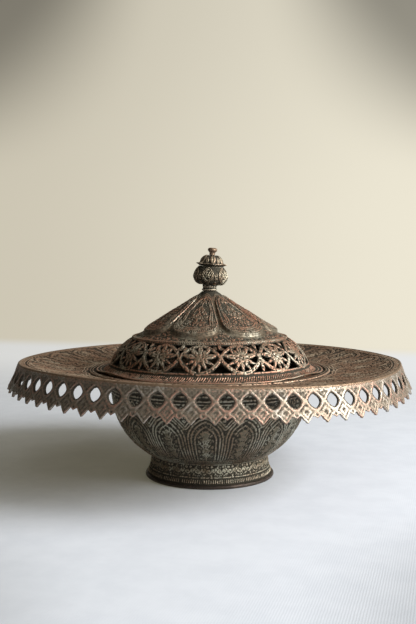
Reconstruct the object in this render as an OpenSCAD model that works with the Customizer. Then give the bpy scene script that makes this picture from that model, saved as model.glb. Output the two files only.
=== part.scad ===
// Covered incense burner in tinned copper: a bowl on a flared foot, a wide dished
// platter with a pierced skirt, a domed pierced lid with a bud finial, and a loose
// fire pan for the charcoal. Millimetres, +Z up, origin on the table under the axis.

/* [Foot] */
// Height of the foot up to its seam with the bowl
foot_h = 14.5; // [12:0.5:20]
// Outer radius of the foot's hem
foot_hem_r = 41; // [39:0.5:50]
// Outer radius of the foot at its seam with the bowl
foot_neck_r = 37.9; // [33:0.1:38.5]
// Sheet thickness of the foot
foot_wall = 1.2; // [0.8:0.1:2]
// Diameter of the half-round wire soldered round the hem
foot_wire_d = 2.6; // [1.6:0.1:4]

/* [Bowl] */
// Radius of the flat floor of the bowl
bowl_floor_r = 16; // [14:0.5:20]
// Radius of the curve of the bowl's wall, outside
bowl_curve_r = 48.2; // [46:0.1:56]
// Height of the bowl from its underside to its lip
bowl_h = 59.2; // [54:0.2:64]
// Sheet thickness of the bowl
bowl_wall = 1.2; // [0.8:0.1:1.8]
// Width of the lip under the platter, outside the bowl's belly
lip_w = 5.4; // [4.6:0.1:7]

/* [Mouth rivets] */
// Number of rivets through the lip and the platter
rivet_count = 12; // [6:1:18]
// Radius of a rivet's shank
rivet_r = 1.1; // [0.8:0.1:1.4]
// Radius of a rivet's head
rivet_head_r = 2.1; // [1.6:0.1:2.4]
// Height of a rivet's head
rivet_head_h = 0.9; // [0.6:0.1:1.4]

/* [Platter] */
// Width of the platter outside the lid's seat, out to the middle of its rim wire
dish_w = 47.1; // [42:0.1:56]
// Clearance round the lid's brim on its seat
seat_margin = 1.4; // [0.8:0.1:3]
// Sheet thickness of the platter
platter_t = 1.2; // [0.8:0.1:2]
// Rise of the rim above the lid's seat
dish_rise = 6; // [3:0.5:10]
// How far the dish sags below a straight slope
dish_sag = 1.4; // [0:0.2:2.4]
// Width of the flat border inside the rim
border_w = 5; // [3:0.5:9]
// Width of the raised ring round the lid's seat
ridge_w = 3.2; // [2:0.2:5]
// Height of the raised ring round the lid's seat
ridge_h = 0.9; // [0.4:0.1:1.6]
// Diameter of the rim wire
rim_wire_d = 2.2; // [1.8:0.1:3.4]
// How far the rim wire stands above the border
rim_wire_proud = 0.5; // [0.2:0.1:0.8]

/* [Skirt] */
// How far the points of the skirt stand outside the rim wire's middle
skirt_flare = 7.6; // [5:0.1:12]
// Drop from the platter's rim to the points of the skirt
skirt_drop = 17.9; // [15:0.2:22]
// Sheet thickness of the skirt
skirt_t = 1.3; // [0.9:0.1:1.8]
// Number of openings round the skirt
skirt_cells = 65; // [58:1:70]
// Width of one opening
opening_w = 7.8; // [5:0.1:8.2]
// Height of one opening
opening_h = 7.6; // [5:0.1:8.4]
// Distance of the openings' middles below the top of the skirt
opening_drop = 6.9; // [6:0.1:8]
// Height of the long points below the notches
long_point = 4.6; // [3:0.1:5.4]
// Height of the short points below the notches
short_point = 1.5; // [0.6:0.1:2]

/* [Lid] */
// How far the lid's brim reaches outside the bowl's mouth
brim_overlap = 12.2; // [11:0.1:16]
// Thickness of the brim
brim_t = 1; // [0.8:0.1:1.6]
// Depth of the collar that locates the lid in the mouth
bezel_depth = 6.5; // [4:0.5:10]
// Thickness of that collar
bezel_t = 1; // [0.7:0.1:1.6]
// Radial clearance of the collar in the mouth
bezel_clearance = 0.6; // [0.3:0.1:1.2]
// Clearance under the seated lid and the seated pan
seat_clearance = 0.1; // [0.05:0.05:0.3]
// Sheet thickness of the lid's gallery and crown
lid_t = 1.2; // [0.9:0.1:1.6]
// Height of the pierced gallery's shoulder above the brim
gallery_h = 15.8; // [13:0.2:20]
// How far the foot of the pierced band stands outside the bowl's mouth
band_overhang = 3.3; // [2.6:0.1:4.4]
// How much the pierced band narrows on its way up to the shoulder
band_taper = 8.3; // [6:0.1:11]
// How far the pierced band bows out from a straight slope
band_bow = 0.9; // [0:0.1:1.6]
// How far the gallery runs inwards from its shoulder to the seam
shoulder_w = 6.7; // [4:0.1:9]
// How far the gallery rises from its shoulder to the seam
shoulder_h = 4.6; // [3:0.1:6]
// Width of the flare between the brim and the band
flare_w = 5.4; // [4:0.1:7]
// Height of the flare between the brim and the band
flare_h = 3.2; // [2:0.1:4.4]
// Number of lens-shaped panels round the gallery
lens_count = 15; // [13:1:17]
// Diameter of the wire over the seam of gallery and crown
seam_wire_d = 1.7; // [1.2:0.1:2.4]

/* [Crown] */
// Height of the crown from the seam to the neck
crown_h = 29.9; // [24:0.1:34]
// Radius of the neck under the finial
neck_r = 5; // [4.9:0.1:6.4]
// How far the crown's side is hollowed below a straight slope
crown_hollow = 1.5; // [0:0.1:2]
// Number of raised petals
petal_count = 7; // [6:1:9]
// Width of the band between the petals' tips and the seam
petal_margin = 6; // [4:0.1:9]
// Radius of a petal's round end
petal_end_r = 18; // [14:0.5:22]
// Radius of a petal's rounded corners
petal_corner_r = 5; // [3:0.1:7]
// Width of the rib that parts two petals
petal_gap = 2.2; // [1.4:0.1:4]
// Height of the petals above the crown
petal_rise = 2; // [0.6:0.1:2.4]

/* [Finial] */
// Radius of the rod that holds the finial's pieces
rod_r = 1.3; // [1:0.1:1.6]
// Height of the collar on the neck
collar_h = 4.2; // [3.2:0.2:7]
// Largest radius of the bud
bud_r = 11.4; // [9.6:0.2:14]
// Height of the bud
bud_h = 11.8; // [10:0.2:15]
// Height of the leaf cap on the bud
cap_h = 7.6; // [6:0.2:10]
// Number of leaf tips round the cap
leaf_count = 6; // [5:1:8]
// How far the leaf tips stand out from the bud's top
leaf_reach = 2.1; // [0.8:0.1:2.6]
// Thickness of the leaf tips
leaf_t = 1.5; // [0.8:0.1:2]
// Radius of the button
button_r = 3.1; // [2.6:0.1:4]
// Height of the button with its stem
button_h = 4.6; // [4:0.2:7]
// Radius of the washer inside the crown
washer_r = 3.9; // [3.4:0.1:4.1]
// Thickness of the washer and of the rod's peened head
washer_t = 1; // [0.7:0.1:1.4]

/* [Fire pan] */
// How much smaller the pan's flat floor is than the bowl's, in radius
pan_floor_inset = 4; // [2:0.5:5]
// Space between the pan's wall and the bowl's
pan_gap = 6.5; // [5:0.5:9]
// Depth of the pan, outside
pan_h = 36; // [24:0.5:37]
// Sheet thickness of the pan
pan_wall = 1; // [0.8:0.1:1.6]
// Diameter of the wire that the pan's edge is turned over
pan_wire_d = 2.4; // [1.6:0.1:3]
// Height of the pan's feet
pan_foot_h = 3.4; // [2.5:0.1:5]
// Radius of the pan's feet
pan_foot_r = 2.4; // [2:0.1:3]
// Distance of the feet's middles from the edge of the pan's floor
pan_foot_inset = 3.5; // [3.5:0.1:5]

/* [Hidden] */
$fn = 96;

// azimuths of the patterns, measured from the front (-Y) towards +X
front = -90;
skirt_phase = -1.6;
lens_phase = -5.8;
petal_phase = -14.9;

// heights, stacked from the table
bowl_floor_z = foot_h - bowl_curve_r + sqrt(pow(bowl_curve_r, 2) - pow(foot_neck_r - bowl_floor_r, 2));
bowl_curve_z = bowl_floor_z + bowl_curve_r;
lip_z = bowl_floor_z + bowl_h;
seat_z = lip_z + platter_t;
rim_z = seat_z + dish_rise;
brim_z = seat_z + seat_clearance;
gallery_z = brim_z + brim_t;
shoulder_z = gallery_z + gallery_h;
seam_z = shoulder_z + shoulder_h;
neck_z = seam_z + crown_h;
bud_z = neck_z + collar_h;
cap_z = bud_z + bud_h;
button_z = cap_z + cap_h;
pan_foot_z = bowl_floor_z + bowl_wall + seat_clearance;
pan_floor_z = pan_foot_z + pan_foot_h;
pan_edge_z = pan_floor_z + pan_h;

// radii that follow from the sizes above
belly_r = bowl_floor_r + bowl_curve_r;
mouth_r = bowl_floor_r + sqrt(pow(bowl_curve_r - bowl_wall, 2) - pow(lip_z - bowl_curve_z, 2));
bezel_r = mouth_r - bezel_clearance;
brim_r = mouth_r + brim_overlap;
gallery_base_r = mouth_r + band_overhang;
shoulder_r = gallery_base_r - band_taper;
seam_r = shoulder_r - shoulder_w;
petal_reach = seam_r - petal_margin;
seat_r = brim_r + seat_margin;
rivet_place = belly_r + lip_w / 2;
platter_r = seat_r + dish_w;
rim_wire_z = rim_z + rim_wire_proud - rim_wire_d / 2;
skirt_top_r = platter_r + rim_wire_d * 0.4;
skirt_r = platter_r + skirt_flare;
skirt_bottom_z = rim_z - skirt_drop;
pan_floor_r = bowl_floor_r - pan_floor_inset;
pan_curve_r = bowl_curve_r - bowl_wall - pan_gap;
pan_foot_place = pan_floor_r - pan_foot_inset;
pan_wire_z = pan_edge_z - pan_wire_d / 2;
pan_wire_r = pan_floor_r + sqrt(pow(pan_curve_r, 2) - pow(pan_wire_z - pan_floor_z - pan_curve_r, 2))
    - pan_wall / 2;

// ---- paths of sections: lists of [radius, height] ----

function unit(v) = v / norm(v);
function right_of(d) = unit([d[1], -d[0]]);
// n steps from a to b, bowed by sag to the right of the way from a to b
function bowed(a, b, sag, n) =
    [for (i = [0:n]) let (t = i / n) a + t * (b - a) + 4 * sag * t * (1 - t) * right_of(b - a)];
function tail(path) = [for (i = [1:len(path) - 1]) path[i]];
function normal_at(path, i) =
    right_of(path[min(i + 1, len(path) - 1)] - path[max(i - 1, 0)]);
// the path moved to its right by d
function beside(path, d) = [for (i = [0:len(path) - 1]) path[i] + d * normal_at(path, i)];
function reversed(path) = [for (i = [len(path) - 1:-1:0]) path[i]];
// the closed outline between two paths that run the same way
function between(a, b) = concat(a, reversed(b));
function lowered(path, d) = [for (p = path) p - [0, d]];

// the half section of a dish: a flat floor, then a wall on a circular arc
module dish_section(floor_r, curve_r, floor_z, top_z) {
    intersection() {
        translate([0, floor_z])
            square([floor_r + curve_r, top_z - floor_z]);
        union() {
            translate([0, floor_z])
                square([floor_r, top_z - floor_z]);
            translate([floor_r, floor_z + curve_r])
                circle(curve_r);
        }
    }
}

// a ring of wire with its middle at [r, z]
module wire_ring(r, z, d) {
    rotate_extrude()
        translate([r, z])
            circle(d / 2);
}

// puts a flat shape (x along the ring, y up the slope) on a point of a section
module on_slope(azimuth, p, tilt) {
    rotate([0, 0, azimuth])
        translate([p[0], 0, p[1]])
            rotate([0, -tilt, 0])
                rotate([90, 0, 90])
                    children();
}

// ---- vessel ----

foot_curve = foot_h * 0.04;
foot_side = concat(
    [[foot_hem_r, 0]],
    bowed([foot_hem_r, foot_wire_d], [foot_neck_r, foot_h + foot_wall], -foot_curve, 6)
);

module foot() {
    color("#6d5f4e")
        rotate_extrude()
            difference() {
                polygon(between(foot_side, [for (p = foot_side) p - [foot_wall, 0]]));
                dish_section(bowl_floor_r, bowl_curve_r, bowl_floor_z, lip_z);
            }
}

module foot_hem_wire() {
    color("#5a4d3f")
        rotate_extrude()
            intersection() {
                translate([foot_hem_r, foot_wire_d / 2])
                    circle(foot_wire_d / 2);
                translate([foot_hem_r, 0])
                    square(foot_wire_d);
            }
}

module rivet_places() {
    for (i = [0:rivet_count - 1])
        rotate([0, 0, i * 360 / rivet_count])
            translate([rivet_place, 0, 0])
                children();
}

module rivet_shank() {
    translate([0, 0, lip_z - bowl_wall])
        cylinder(h = bowl_wall + platter_t, r = rivet_r);
}

module bowl() {
    color("#75604e")
        difference() {
            rotate_extrude()
                union() {
                    difference() {
                        dish_section(bowl_floor_r, bowl_curve_r, bowl_floor_z, lip_z);
                        dish_section(
                            bowl_floor_r, bowl_curve_r - bowl_wall,
                            bowl_floor_z + bowl_wall, lip_z + bowl_wall
                        );
                    }
                    translate([mouth_r + bowl_wall / 2, lip_z - bowl_wall])
                        square([belly_r + lip_w - mouth_r - bowl_wall / 2, bowl_wall]);
                }
            rivet_places() rivet_shank();
        }
}

module mouth_rivets() {
    color("#8a6a52")
        rivet_places()
            union() {
                rivet_shank();
                translate([0, 0, lip_z - bowl_wall - rivet_head_h])
                    cylinder(h = rivet_head_h, r1 = rivet_head_r * 0.7, r2 = rivet_head_r);
            }
}

platter_top = concat(
    [[mouth_r, seat_z]],
    bowed([seat_r, seat_z], [seat_r + ridge_w, seat_z], -ridge_h, 6),
    tail(bowed([seat_r + ridge_w, seat_z], [platter_r - border_w, rim_z], dish_sag, 8)),
    [[platter_r, rim_z]]
);

module platter() {
    color("#7c6250")
        difference() {
            rotate_extrude()
                difference() {
                    polygon(between(platter_top, lowered(platter_top, platter_t)));
                    translate([platter_r, rim_wire_z])
                        circle(rim_wire_d / 2);
                }
            rivet_places() rivet_shank();
        }
}

module platter_rim_wire() {
    color("#947259")
        wire_ring(platter_r, rim_wire_z, rim_wire_d);
}

skirt_side = [[skirt_r, skirt_bottom_z], [skirt_top_r, rim_wire_z]];
skirt_slant = norm(skirt_side[1] - skirt_side[0]);
skirt_up = unit(skirt_side[1] - skirt_side[0]);
skirt_tilt = atan2(-skirt_up[0], skirt_up[1]);
skirt_pitch = 2 * PI * skirt_r / skirt_cells;
opening_shoulder = 0.62;
point_blunt = 0.3;

// one opening: a lozenge with full shoulders
module opening_outline() {
    w = opening_w / 2;
    h = opening_h / 2;
    s = opening_shoulder;
    polygon([
        [0, h], [w * s, h * s], [w, 0], [w * s, -h * s],
        [0, -h], [-w * s, -h * s], [-w, 0], [-w * s, h * s]
    ]);
}

// what is cut away between two long points, round one short point; y = 0 is at the points' tips
module notch_outline() {
    half = skirt_pitch / 2 - point_blunt;
    notch = half * 0.34;
    polygon([
        [-half, 0], [-notch, long_point], [0, long_point - short_point], [notch, long_point],
        [half, 0], [half, -skirt_t], [-half, -skirt_t]
    ]);
}

module skirt() {
    color("#8b7361")
        difference() {
            rotate_extrude()
                difference() {
                    polygon(between(skirt_side, beside(skirt_side, -skirt_t)));
                    translate([platter_r, rim_wire_z])
                        circle(rim_wire_d / 2);
                }
            for (k = [0:skirt_cells - 1]) {
                azimuth = front + skirt_phase + k * 360 / skirt_cells;
                on_slope(azimuth, skirt_side[1] - opening_drop * skirt_up, skirt_tilt)
                    linear_extrude(4 * skirt_t, center = true) opening_outline();
                on_slope(azimuth, skirt_side[0], skirt_tilt)
                    linear_extrude(4 * skirt_t, center = true) notch_outline();
            }
        }
}

// ---- lid ----

module lid_brim() {
    color("#806754")
        rotate_extrude()
            translate([bezel_r - bezel_t, brim_z])
                square([brim_r - bezel_r + bezel_t, brim_t]);
}

module lid_bezel() {
    color("#6f5a4a")
        rotate_extrude()
            translate([bezel_r - bezel_t, brim_z - bezel_depth])
                square([bezel_t, bezel_depth]);
}

// the gallery's outer side, up from the brim, and the crown's, up to the neck
flare_tuck = brim_t * 0.6;
flare_sag = flare_w * 0.15;
shoulder_bow = shoulder_h * 0.06;
band_base = [gallery_base_r, gallery_z + flare_h];
shoulder = [shoulder_r, shoulder_z];
band_top = [seam_r, seam_z];
crown_top = [neck_r, neck_z];
gallery_side = concat(
    bowed([gallery_base_r + flare_w, gallery_z - flare_tuck], band_base, -flare_sag, 3),
    tail(bowed(band_base, shoulder, band_bow, 4)),
    tail(bowed(shoulder, band_top, shoulder_bow, 2))
);
crown_side = bowed(band_top, crown_top, -crown_hollow, 6);
lid_side = concat(gallery_side, tail(crown_side));
lid_inside = beside(lid_side, -lid_t);
seam = len(gallery_side) - 1;
band_up = unit(shoulder - band_base);
band_slant = norm(shoulder - band_base);
shoulder_up = unit(band_top - shoulder);
band_length = band_slant + norm(band_top - shoulder);

function tilt_of(up) = atan2(-up[0], up[1]);
// the place and the tilt of the gallery's skin, level mm up its slope from the band's foot
function band_at(level) = level < band_slant
    ? [band_base + level * band_up, tilt_of(band_up)]
    : [shoulder + (level - band_slant) * shoulder_up, tilt_of(shoulder_up)];

// Openings on the right side of a lens-shaped panel. Their points are shares of the panel's
// half width and of the band's length. The first two stand between panels, once for each.
between_panels = [
    [[0.77, 0.06], [1.23, 0.06], [1.12, 0.19], [1, 0.3], [0.88, 0.19]],
    [[0.77, 0.93], [1, 0.72], [1.23, 0.93]]
];
beside_stem = [
    [[0.04, 0.12], [0.25, 0.115], [0.26, 0.22], [0.19, 0.32], [0.07, 0.26]],
    [[0.33, 0.2], [0.53, 0.16], [0.57, 0.27], [0.51, 0.36], [0.38, 0.33]],
    [[0.55, 0.47], [0.8, 0.35], [0.85, 0.5], [0.78, 0.57], [0.6, 0.57]],
    [[0.46, 0.64], [0.72, 0.62], [0.68, 0.75], [0.52, 0.8], [0.44, 0.74]],
    [[0.14, 0.72], [0.33, 0.68], [0.36, 0.83], [0.22, 0.88], [0.13, 0.84]]
];
function mirrored(points) = [for (p = reversed(points)) [-p[0], p[1]]];
lens_openings = concat(between_panels, beside_stem, [for (o = beside_stem) mirrored(o)]);

// the tool that saws one opening of panel k
module lens_opening(k, points) {
    middle = [for (p = points) 1] * points / len(points);
    place = band_at(middle[1] * band_length);
    half = PI * place[0][0] / lens_count;
    on_slope(front + lens_phase + (k + middle[0] / 2) * 360 / lens_count, place[0], place[1])
        linear_extrude(6 * lid_t, center = true)
            polygon([for (p = points - [for (q = points) middle]) [p[0] * half, p[1] * band_length]]);
}

module lid_gallery() {
    color("#8a6d58")
        difference() {
            rotate_extrude()
                difference() {
                    intersection() {
                        polygon(between(gallery_side, [for (i = [0:seam]) lid_inside[i]]));
                        translate([0, gallery_z])
                            square([brim_r, gallery_h + shoulder_h + lid_t]);
                    }
                    translate(band_top)
                        circle(seam_wire_d / 2);
                }
            for (k = [0:lens_count - 1])
                for (points = lens_openings)
                    lens_opening(k, points);
        }
}

module lid_seam_wire() {
    color("#947259")
        wire_ring(band_top[0], band_top[1], seam_wire_d);
}

// A petal seen from above, with its axis along X: two sides that run beside the ribs, a wide
// round end, and rounded corners between them.
petal_half = 180 / petal_count;
petal_middle = petal_reach - petal_end_r;
petal_start = petal_gap / 2 / sin(petal_half);
corner_start = petal_start + petal_corner_r / sin(petal_half);
corner_run = (petal_middle - corner_start) * cos(petal_half) + sqrt(
    pow(petal_end_r - petal_corner_r, 2) - pow((petal_middle - corner_start) * sin(petal_half), 2)
);
corner_middle = [corner_start + corner_run * cos(petal_half), corner_run * sin(petal_half)];
corner_end = atan2(corner_middle[1], corner_middle[0] - petal_middle);

function arc(middle, r, from, to, n) =
    [for (i = [0:n]) let (a = from + (to - from) * i / n) middle + r * [cos(a), sin(a)]];
petal_side = concat(
    [[petal_start, 0]],
    arc(corner_middle, petal_corner_r, 90 + petal_half, corner_end, 4),
    tail(arc([petal_middle, 0], petal_end_r, corner_end, 0, 5))
);
petal_outline = concat(petal_side, tail(reversed([for (p = tail(petal_side)) [p[0], -p[1]]])));

// the petals' upper skin, which sinks into the crown on its way up to the neck
petal_root = 0.1;
petal_full = 3;
petal_skin = [
    for (i = [0:len(crown_side) - 1])
        let (share = min(1, petal_root + (len(crown_side) - 1 - i) / petal_full))
            crown_side[i] + petal_rise * share * normal_at(crown_side, i)
];

module crown_rod_hole() {
    translate([0, 0, neck_z - 3 * lid_t])
        cylinder(h = 4 * lid_t, r = rod_r);
}

module lid_crown() {
    color("#856650")
        difference() {
            union() {
                rotate_extrude()
                    difference() {
                        polygon(between(crown_side, [for (i = [seam:len(lid_side) - 1]) lid_inside[i]]));
                        translate(band_top)
                            circle(seam_wire_d / 2);
                    }
                translate([0, 0, neck_z - lid_t])
                    cylinder(h = lid_t, r = neck_r);
                intersection() {
                    rotate_extrude()
                        polygon(between(petal_skin, beside(crown_side, -lid_t / 2)));
                    difference() {
                        for (k = [0:petal_count - 1])
                            rotate([0, 0, front + petal_phase + k * 360 / petal_count])
                                translate([0, 0, seam_z])
                                    linear_extrude(crown_h + petal_rise) polygon(petal_outline);
                        cylinder(h = 2 * neck_z, r = neck_r * 1.1);
                    }
                }
            }
            crown_rod_hole();
        }
}

// ---- finial: turned pieces threaded on one rod ----

// a turned piece that stands at z, from the outline of its side, with a hole of depth for the rod
module turned(side, z, depth) {
    difference() {
        translate([0, 0, z])
            rotate_extrude()
                polygon(concat([[0, side[0][1]]], side, [[0, side[len(side) - 1][1]]]));
        translate([0, 0, z - rod_r])
            cylinder(h = depth + rod_r, r = rod_r);
    }
}

waist_r = neck_r * 0.86;
bud_foot_r = neck_r * 0.98;
bud_top_r = bud_r * 0.73;
stem_r = button_r * 0.66;
rod_reach = 0.55;

module finial_collar() {
    bead_h = collar_h * 0.45;
    side = concat(
        bowed([neck_r, 0], [waist_r, bead_h], collar_h * 0.08, 4),
        tail(bowed([waist_r, bead_h], [bud_foot_r, collar_h], -collar_h * 0.06, 4))
    );
    color("#8a7a68") turned(side, neck_z, collar_h);
}

module finial_bud() {
    widest = bud_h * 0.48;
    side = concat(
        bowed([bud_foot_r, 0], [bud_r, widest], bud_h * 0.14, 6),
        tail(bowed([bud_r, widest], [bud_top_r, bud_h], bud_h * 0.07, 5))
    );
    color("#6f6252") turned(side, bud_z, bud_h);
}

module leaf_tip() {
    root = bud_top_r * 0.78;
    half = bud_top_r * 0.34;
    translate([0, 0, cap_h * 0.12])
        linear_extrude(leaf_t)
            polygon([
                [root, -half], [bud_top_r, -half * 0.75], [bud_top_r + leaf_reach, 0],
                [bud_top_r, half * 0.75], [root, half]
            ]);
}

module finial_cap() {
    lip_h = cap_h * 0.3;
    side = concat(
        [[bud_top_r, 0], [bud_top_r * 1.05, lip_h]],
        bowed([bud_top_r * 0.88, lip_h], [stem_r, cap_h], cap_h * 0.13, 5)
    );
    color("#7a6a57")
        union() {
            turned(side, cap_z, cap_h);
            for (k = [0:leaf_count - 1])
                rotate([0, 0, front + k * 360 / leaf_count])
                    translate([0, 0, cap_z]) leaf_tip();
        }
}

module finial_button() {
    stem_h = button_h * 0.36;
    side = concat(
        [[stem_r, 0], [stem_r, stem_h]],
        bowed([button_r * 0.9, button_h * 0.5], [button_r * 0.8, button_h], button_h * 0.1, 4)
    );
    color("#7a6a57") turned(side, button_z, button_h * rod_reach);
}

module finial_rod() {
    foot_z = neck_z - lid_t - washer_t;
    top_z = button_z + button_h * rod_reach;
    color("#8a6a52")
        union() {
            translate([0, 0, foot_z])
                cylinder(h = top_z - foot_z, r = rod_r);
            translate([0, 0, foot_z - washer_t])
                cylinder(h = washer_t, r = rod_r * 1.9);
        }
}

module finial_washer() {
    color("#8a6a52")
        translate([0, 0, neck_z - lid_t - washer_t])
            difference() {
                cylinder(h = washer_t, r = washer_r);
                translate([0, 0, -washer_t])
                    cylinder(h = 3 * washer_t, r = rod_r);
            }
}

// ---- fire pan ----

pan_shank_r = pan_foot_r * 0.6;
pan_rivet_h = pan_wall * 0.8;

module pan_foot_places() {
    for (k = [0:2])
        rotate([0, 0, front + k * 120])
            translate([pan_foot_place, 0, 0])
                children();
}

module fire_pan() {
    color("#4c433b")
        difference() {
            rotate_extrude()
                difference() {
                    dish_section(pan_floor_r, pan_curve_r, pan_floor_z, pan_wire_z);
                    dish_section(pan_floor_r, pan_curve_r - pan_wall, pan_floor_z + pan_wall, pan_edge_z);
                    translate([pan_wire_r, pan_wire_z])
                        circle(pan_wire_d / 2);
                }
            pan_foot_places()
                translate([0, 0, pan_floor_z - pan_wall])
                    cylinder(h = 3 * pan_wall, r = pan_shank_r);
        }
}

module pan_edge_wire() {
    color("#5d5146")
        wire_ring(pan_wire_r, pan_wire_z, pan_wire_d);
}

module pan_feet() {
    color("#5d5146")
        pan_foot_places()
            union() {
                translate([0, 0, pan_foot_z])
                    cylinder(h = pan_foot_h, r = pan_foot_r);
                translate([0, 0, pan_floor_z])
                    cylinder(h = pan_wall, r = pan_shank_r);
                translate([0, 0, pan_floor_z + pan_wall])
                    cylinder(h = pan_rivet_h, r1 = pan_foot_r, r2 = pan_foot_r * 0.7);
            }
}

// ---- what is drawn ----

foot();
foot_hem_wire();
bowl();
mouth_rivets();
platter();
platter_rim_wire();
skirt();
lid_brim();
lid_bezel();
lid_gallery();
lid_seam_wire();
lid_crown();
finial_collar();
finial_bud();
finial_cap();
finial_button();
finial_rod();
finial_washer();
fire_pan();
pan_edge_wire();
pan_feet();
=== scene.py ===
# %% [markdown]
# # A covered incense burner in chased and pierced copper
#
# The burner is sheet copper, raised into shape, chased all over with lines and foliage, pierced where the smoke
# leaves, and tinned. Age has turned the tin grey and olive, filled the ground of the ornament with dark dirt, and
# worn the highest lines down to orange copper. Four things make it look right: the true sections of the turned
# pieces, ornament that is real relief, openings with the thickness of the sheet, and one patina that knows how high
# each point of the relief stands. From that height the patina also paints shade into the ground and glints on crests.

# %% Load the fixed frame
import math

import bmesh
import bpy
import numpy as np
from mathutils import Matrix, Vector


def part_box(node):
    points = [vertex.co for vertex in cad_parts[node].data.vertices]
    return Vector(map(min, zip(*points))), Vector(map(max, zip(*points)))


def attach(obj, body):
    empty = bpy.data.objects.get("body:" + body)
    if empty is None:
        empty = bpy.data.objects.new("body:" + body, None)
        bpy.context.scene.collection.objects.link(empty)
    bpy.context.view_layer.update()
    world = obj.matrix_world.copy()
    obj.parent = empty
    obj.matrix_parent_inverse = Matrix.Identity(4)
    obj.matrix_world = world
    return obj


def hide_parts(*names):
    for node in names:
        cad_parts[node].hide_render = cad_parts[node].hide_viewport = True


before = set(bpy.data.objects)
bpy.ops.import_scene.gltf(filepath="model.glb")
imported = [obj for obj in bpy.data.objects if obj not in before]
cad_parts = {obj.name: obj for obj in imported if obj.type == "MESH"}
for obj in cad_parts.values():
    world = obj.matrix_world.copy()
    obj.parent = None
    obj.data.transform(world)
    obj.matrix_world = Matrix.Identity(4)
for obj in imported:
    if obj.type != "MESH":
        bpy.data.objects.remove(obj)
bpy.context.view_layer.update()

# %% [markdown]
# ## Camera
#
# A 50 mm lens from just over half a metre, at the height of the finial and tipped down a little. That shows the
# platter as a thin ellipse and the skirt almost from the side. From nearer the ellipse would open too far, and a
# longer lens from further off would close it.

# %% Camera
MM = 0.001
CAMERA_PLACE = Vector((-1.04, -567.2, 142.4)) * MM
CAMERA_TIP = 0.062
LENS = 50.0
SENSOR_WIDTH = 36.0
camera_data = bpy.data.cameras.new("camera")
camera_data.lens = LENS
camera_data.sensor_width = SENSOR_WIDTH
camera = bpy.data.objects.new("camera", camera_data)
camera.location = CAMERA_PLACE
camera.rotation_euler = (math.pi / 2 - CAMERA_TIP, 0, 0)
bpy.context.scene.collection.objects.link(camera)
bpy.context.scene.camera = camera
bpy.context.scene.view_settings.view_transform = "Standard"
print("camera", [round(v, 3) for v in CAMERA_PLACE], "tipped", round(math.degrees(CAMERA_TIP), 2))

# %% [markdown]
# ## Sizes
#
# The sections of the turned pieces are paths of (radius, height) in millimetres. Heights come from the frame's
# boxes, so a piece always sits where the frame's piece sits. Numbers typed in would be simpler, but they would stay
# behind when the frame changes. Only the few radii that a box can't tell are named here.


# %% Sizes from the frame
def low_of(node):
    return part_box(node)[0].z / MM


def high_of(node):
    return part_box(node)[1].z / MM


def reach_of(node):
    low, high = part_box(node)
    return (high.x - low.x) / 2 / MM


SHEET = 1.2
BOWL_FLOOR_R = 16.0
BOWL_CURVE_R = 48.2
FOOT_WALL = 1.2
FOOT_NECK_R = 37.9
RIM_WIRE_R = 1.1
SKIRT_SHEET = 1.3
bowl_floor_z = low_of("bowl")
lip_z = high_of("bowl")
lip_r = reach_of("bowl")
seat_z = lip_z + SHEET
hem_z = high_of("foot_hem_wire")
hem_r = reach_of("foot_hem_wire") - hem_z / 2
rim_wire_r = reach_of("platter_rim_wire") - RIM_WIRE_R
rim_wire_z = low_of("platter_rim_wire") + RIM_WIRE_R
rim_z = high_of("platter")
skirt_r = reach_of("skirt")
skirt_low_z = low_of("skirt")
brim_r = reach_of("lid_brim")
brim_low_z = low_of("lid_brim")
brim_z = high_of("lid_brim")
seam_wire_r = (high_of("lid_seam_wire") - low_of("lid_seam_wire")) / 2
seam_r = reach_of("lid_seam_wire") - seam_wire_r
seam_z = low_of("lid_seam_wire") + seam_wire_r
neck_z = low_of("finial_collar")
neck_r = reach_of("finial_collar")
bud_z = low_of("finial_bud")
bud_r = reach_of("finial_bud")
cap_z = low_of("finial_cap")
button_z = low_of("finial_button")
button_top_z = high_of("finial_button")
print("heights", round(seat_z, 2), round(brim_z, 2), round(seam_z, 2), round(neck_z, 2))


# %% [markdown]
# ## Paths
#
# Three small functions make every section: a bowed line, an arc and a quadratic curve. A path goes up or outwards,
# and a positive sag pushes it to the right of its way.


# %% Paths of sections and of strokes
def bowed(a, b, sag, count):
    across = Vector((b[1] - a[1], a[0] - b[0])).normalized()
    shares = [i / count for i in range(count + 1)]
    return [tuple(Vector(a).lerp(Vector(b), t) + across * 4 * sag * t * (1 - t)) for t in shares]


def arc(centre, radius, start, end, count):
    """Points of an arc. Angles are in degrees from straight down, turning outwards and up."""
    turns = [math.radians(start + (end - start) * i / count) for i in range(count + 1)]
    return [(centre[0] + radius * math.sin(t), centre[1] - radius * math.cos(t)) for t in turns]


def curve(a, control, b, count=10):
    a, control, b = Vector(a), Vector(control), Vector(b)
    shares = [i / count for i in range(count + 1)]
    return [tuple(a.lerp(control, t).lerp(control.lerp(b, t), t)) for t in shares]


def lengths(path):
    """Distance of each point of a path from its first point."""
    steps = [math.dist(a, b) for a, b in zip(path, path[1:])]
    return [0.0, *np.cumsum(steps)]


# %% [markdown]
# ## Drawing the ornament
#
# A chaser draws the pattern on the metal, then sinks the ground round it. Here a Drawing is a strip of that metal
# seen flat, in millimetres. Its left and right edges meet, so one strip repeats round the axis. `work` is 0 on the
# ground and 1 on the raised lines. Each motif only ever raises the work, so strokes cross as real ones do. Bump alone
# could draw the lines too, but it stays flat at the outline. A field of numbers can both raise a mesh and cut it.

# %% The drawing board
SAWN = -2.0
CUT_MARGIN = 0.8
CURL_STEPS = 13
CURL_STEP = 0.42
CURL_TURN = 0.34
CURL_TIGHTEN = 0.035
CURL_SHRINK = 0.93
LEAF_GROOVE = 0.24
FILL_CLEAR_AND_LENGTH = ((1.25, 2.9), (0.85, 1.9), (0.5, 1.1))


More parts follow.
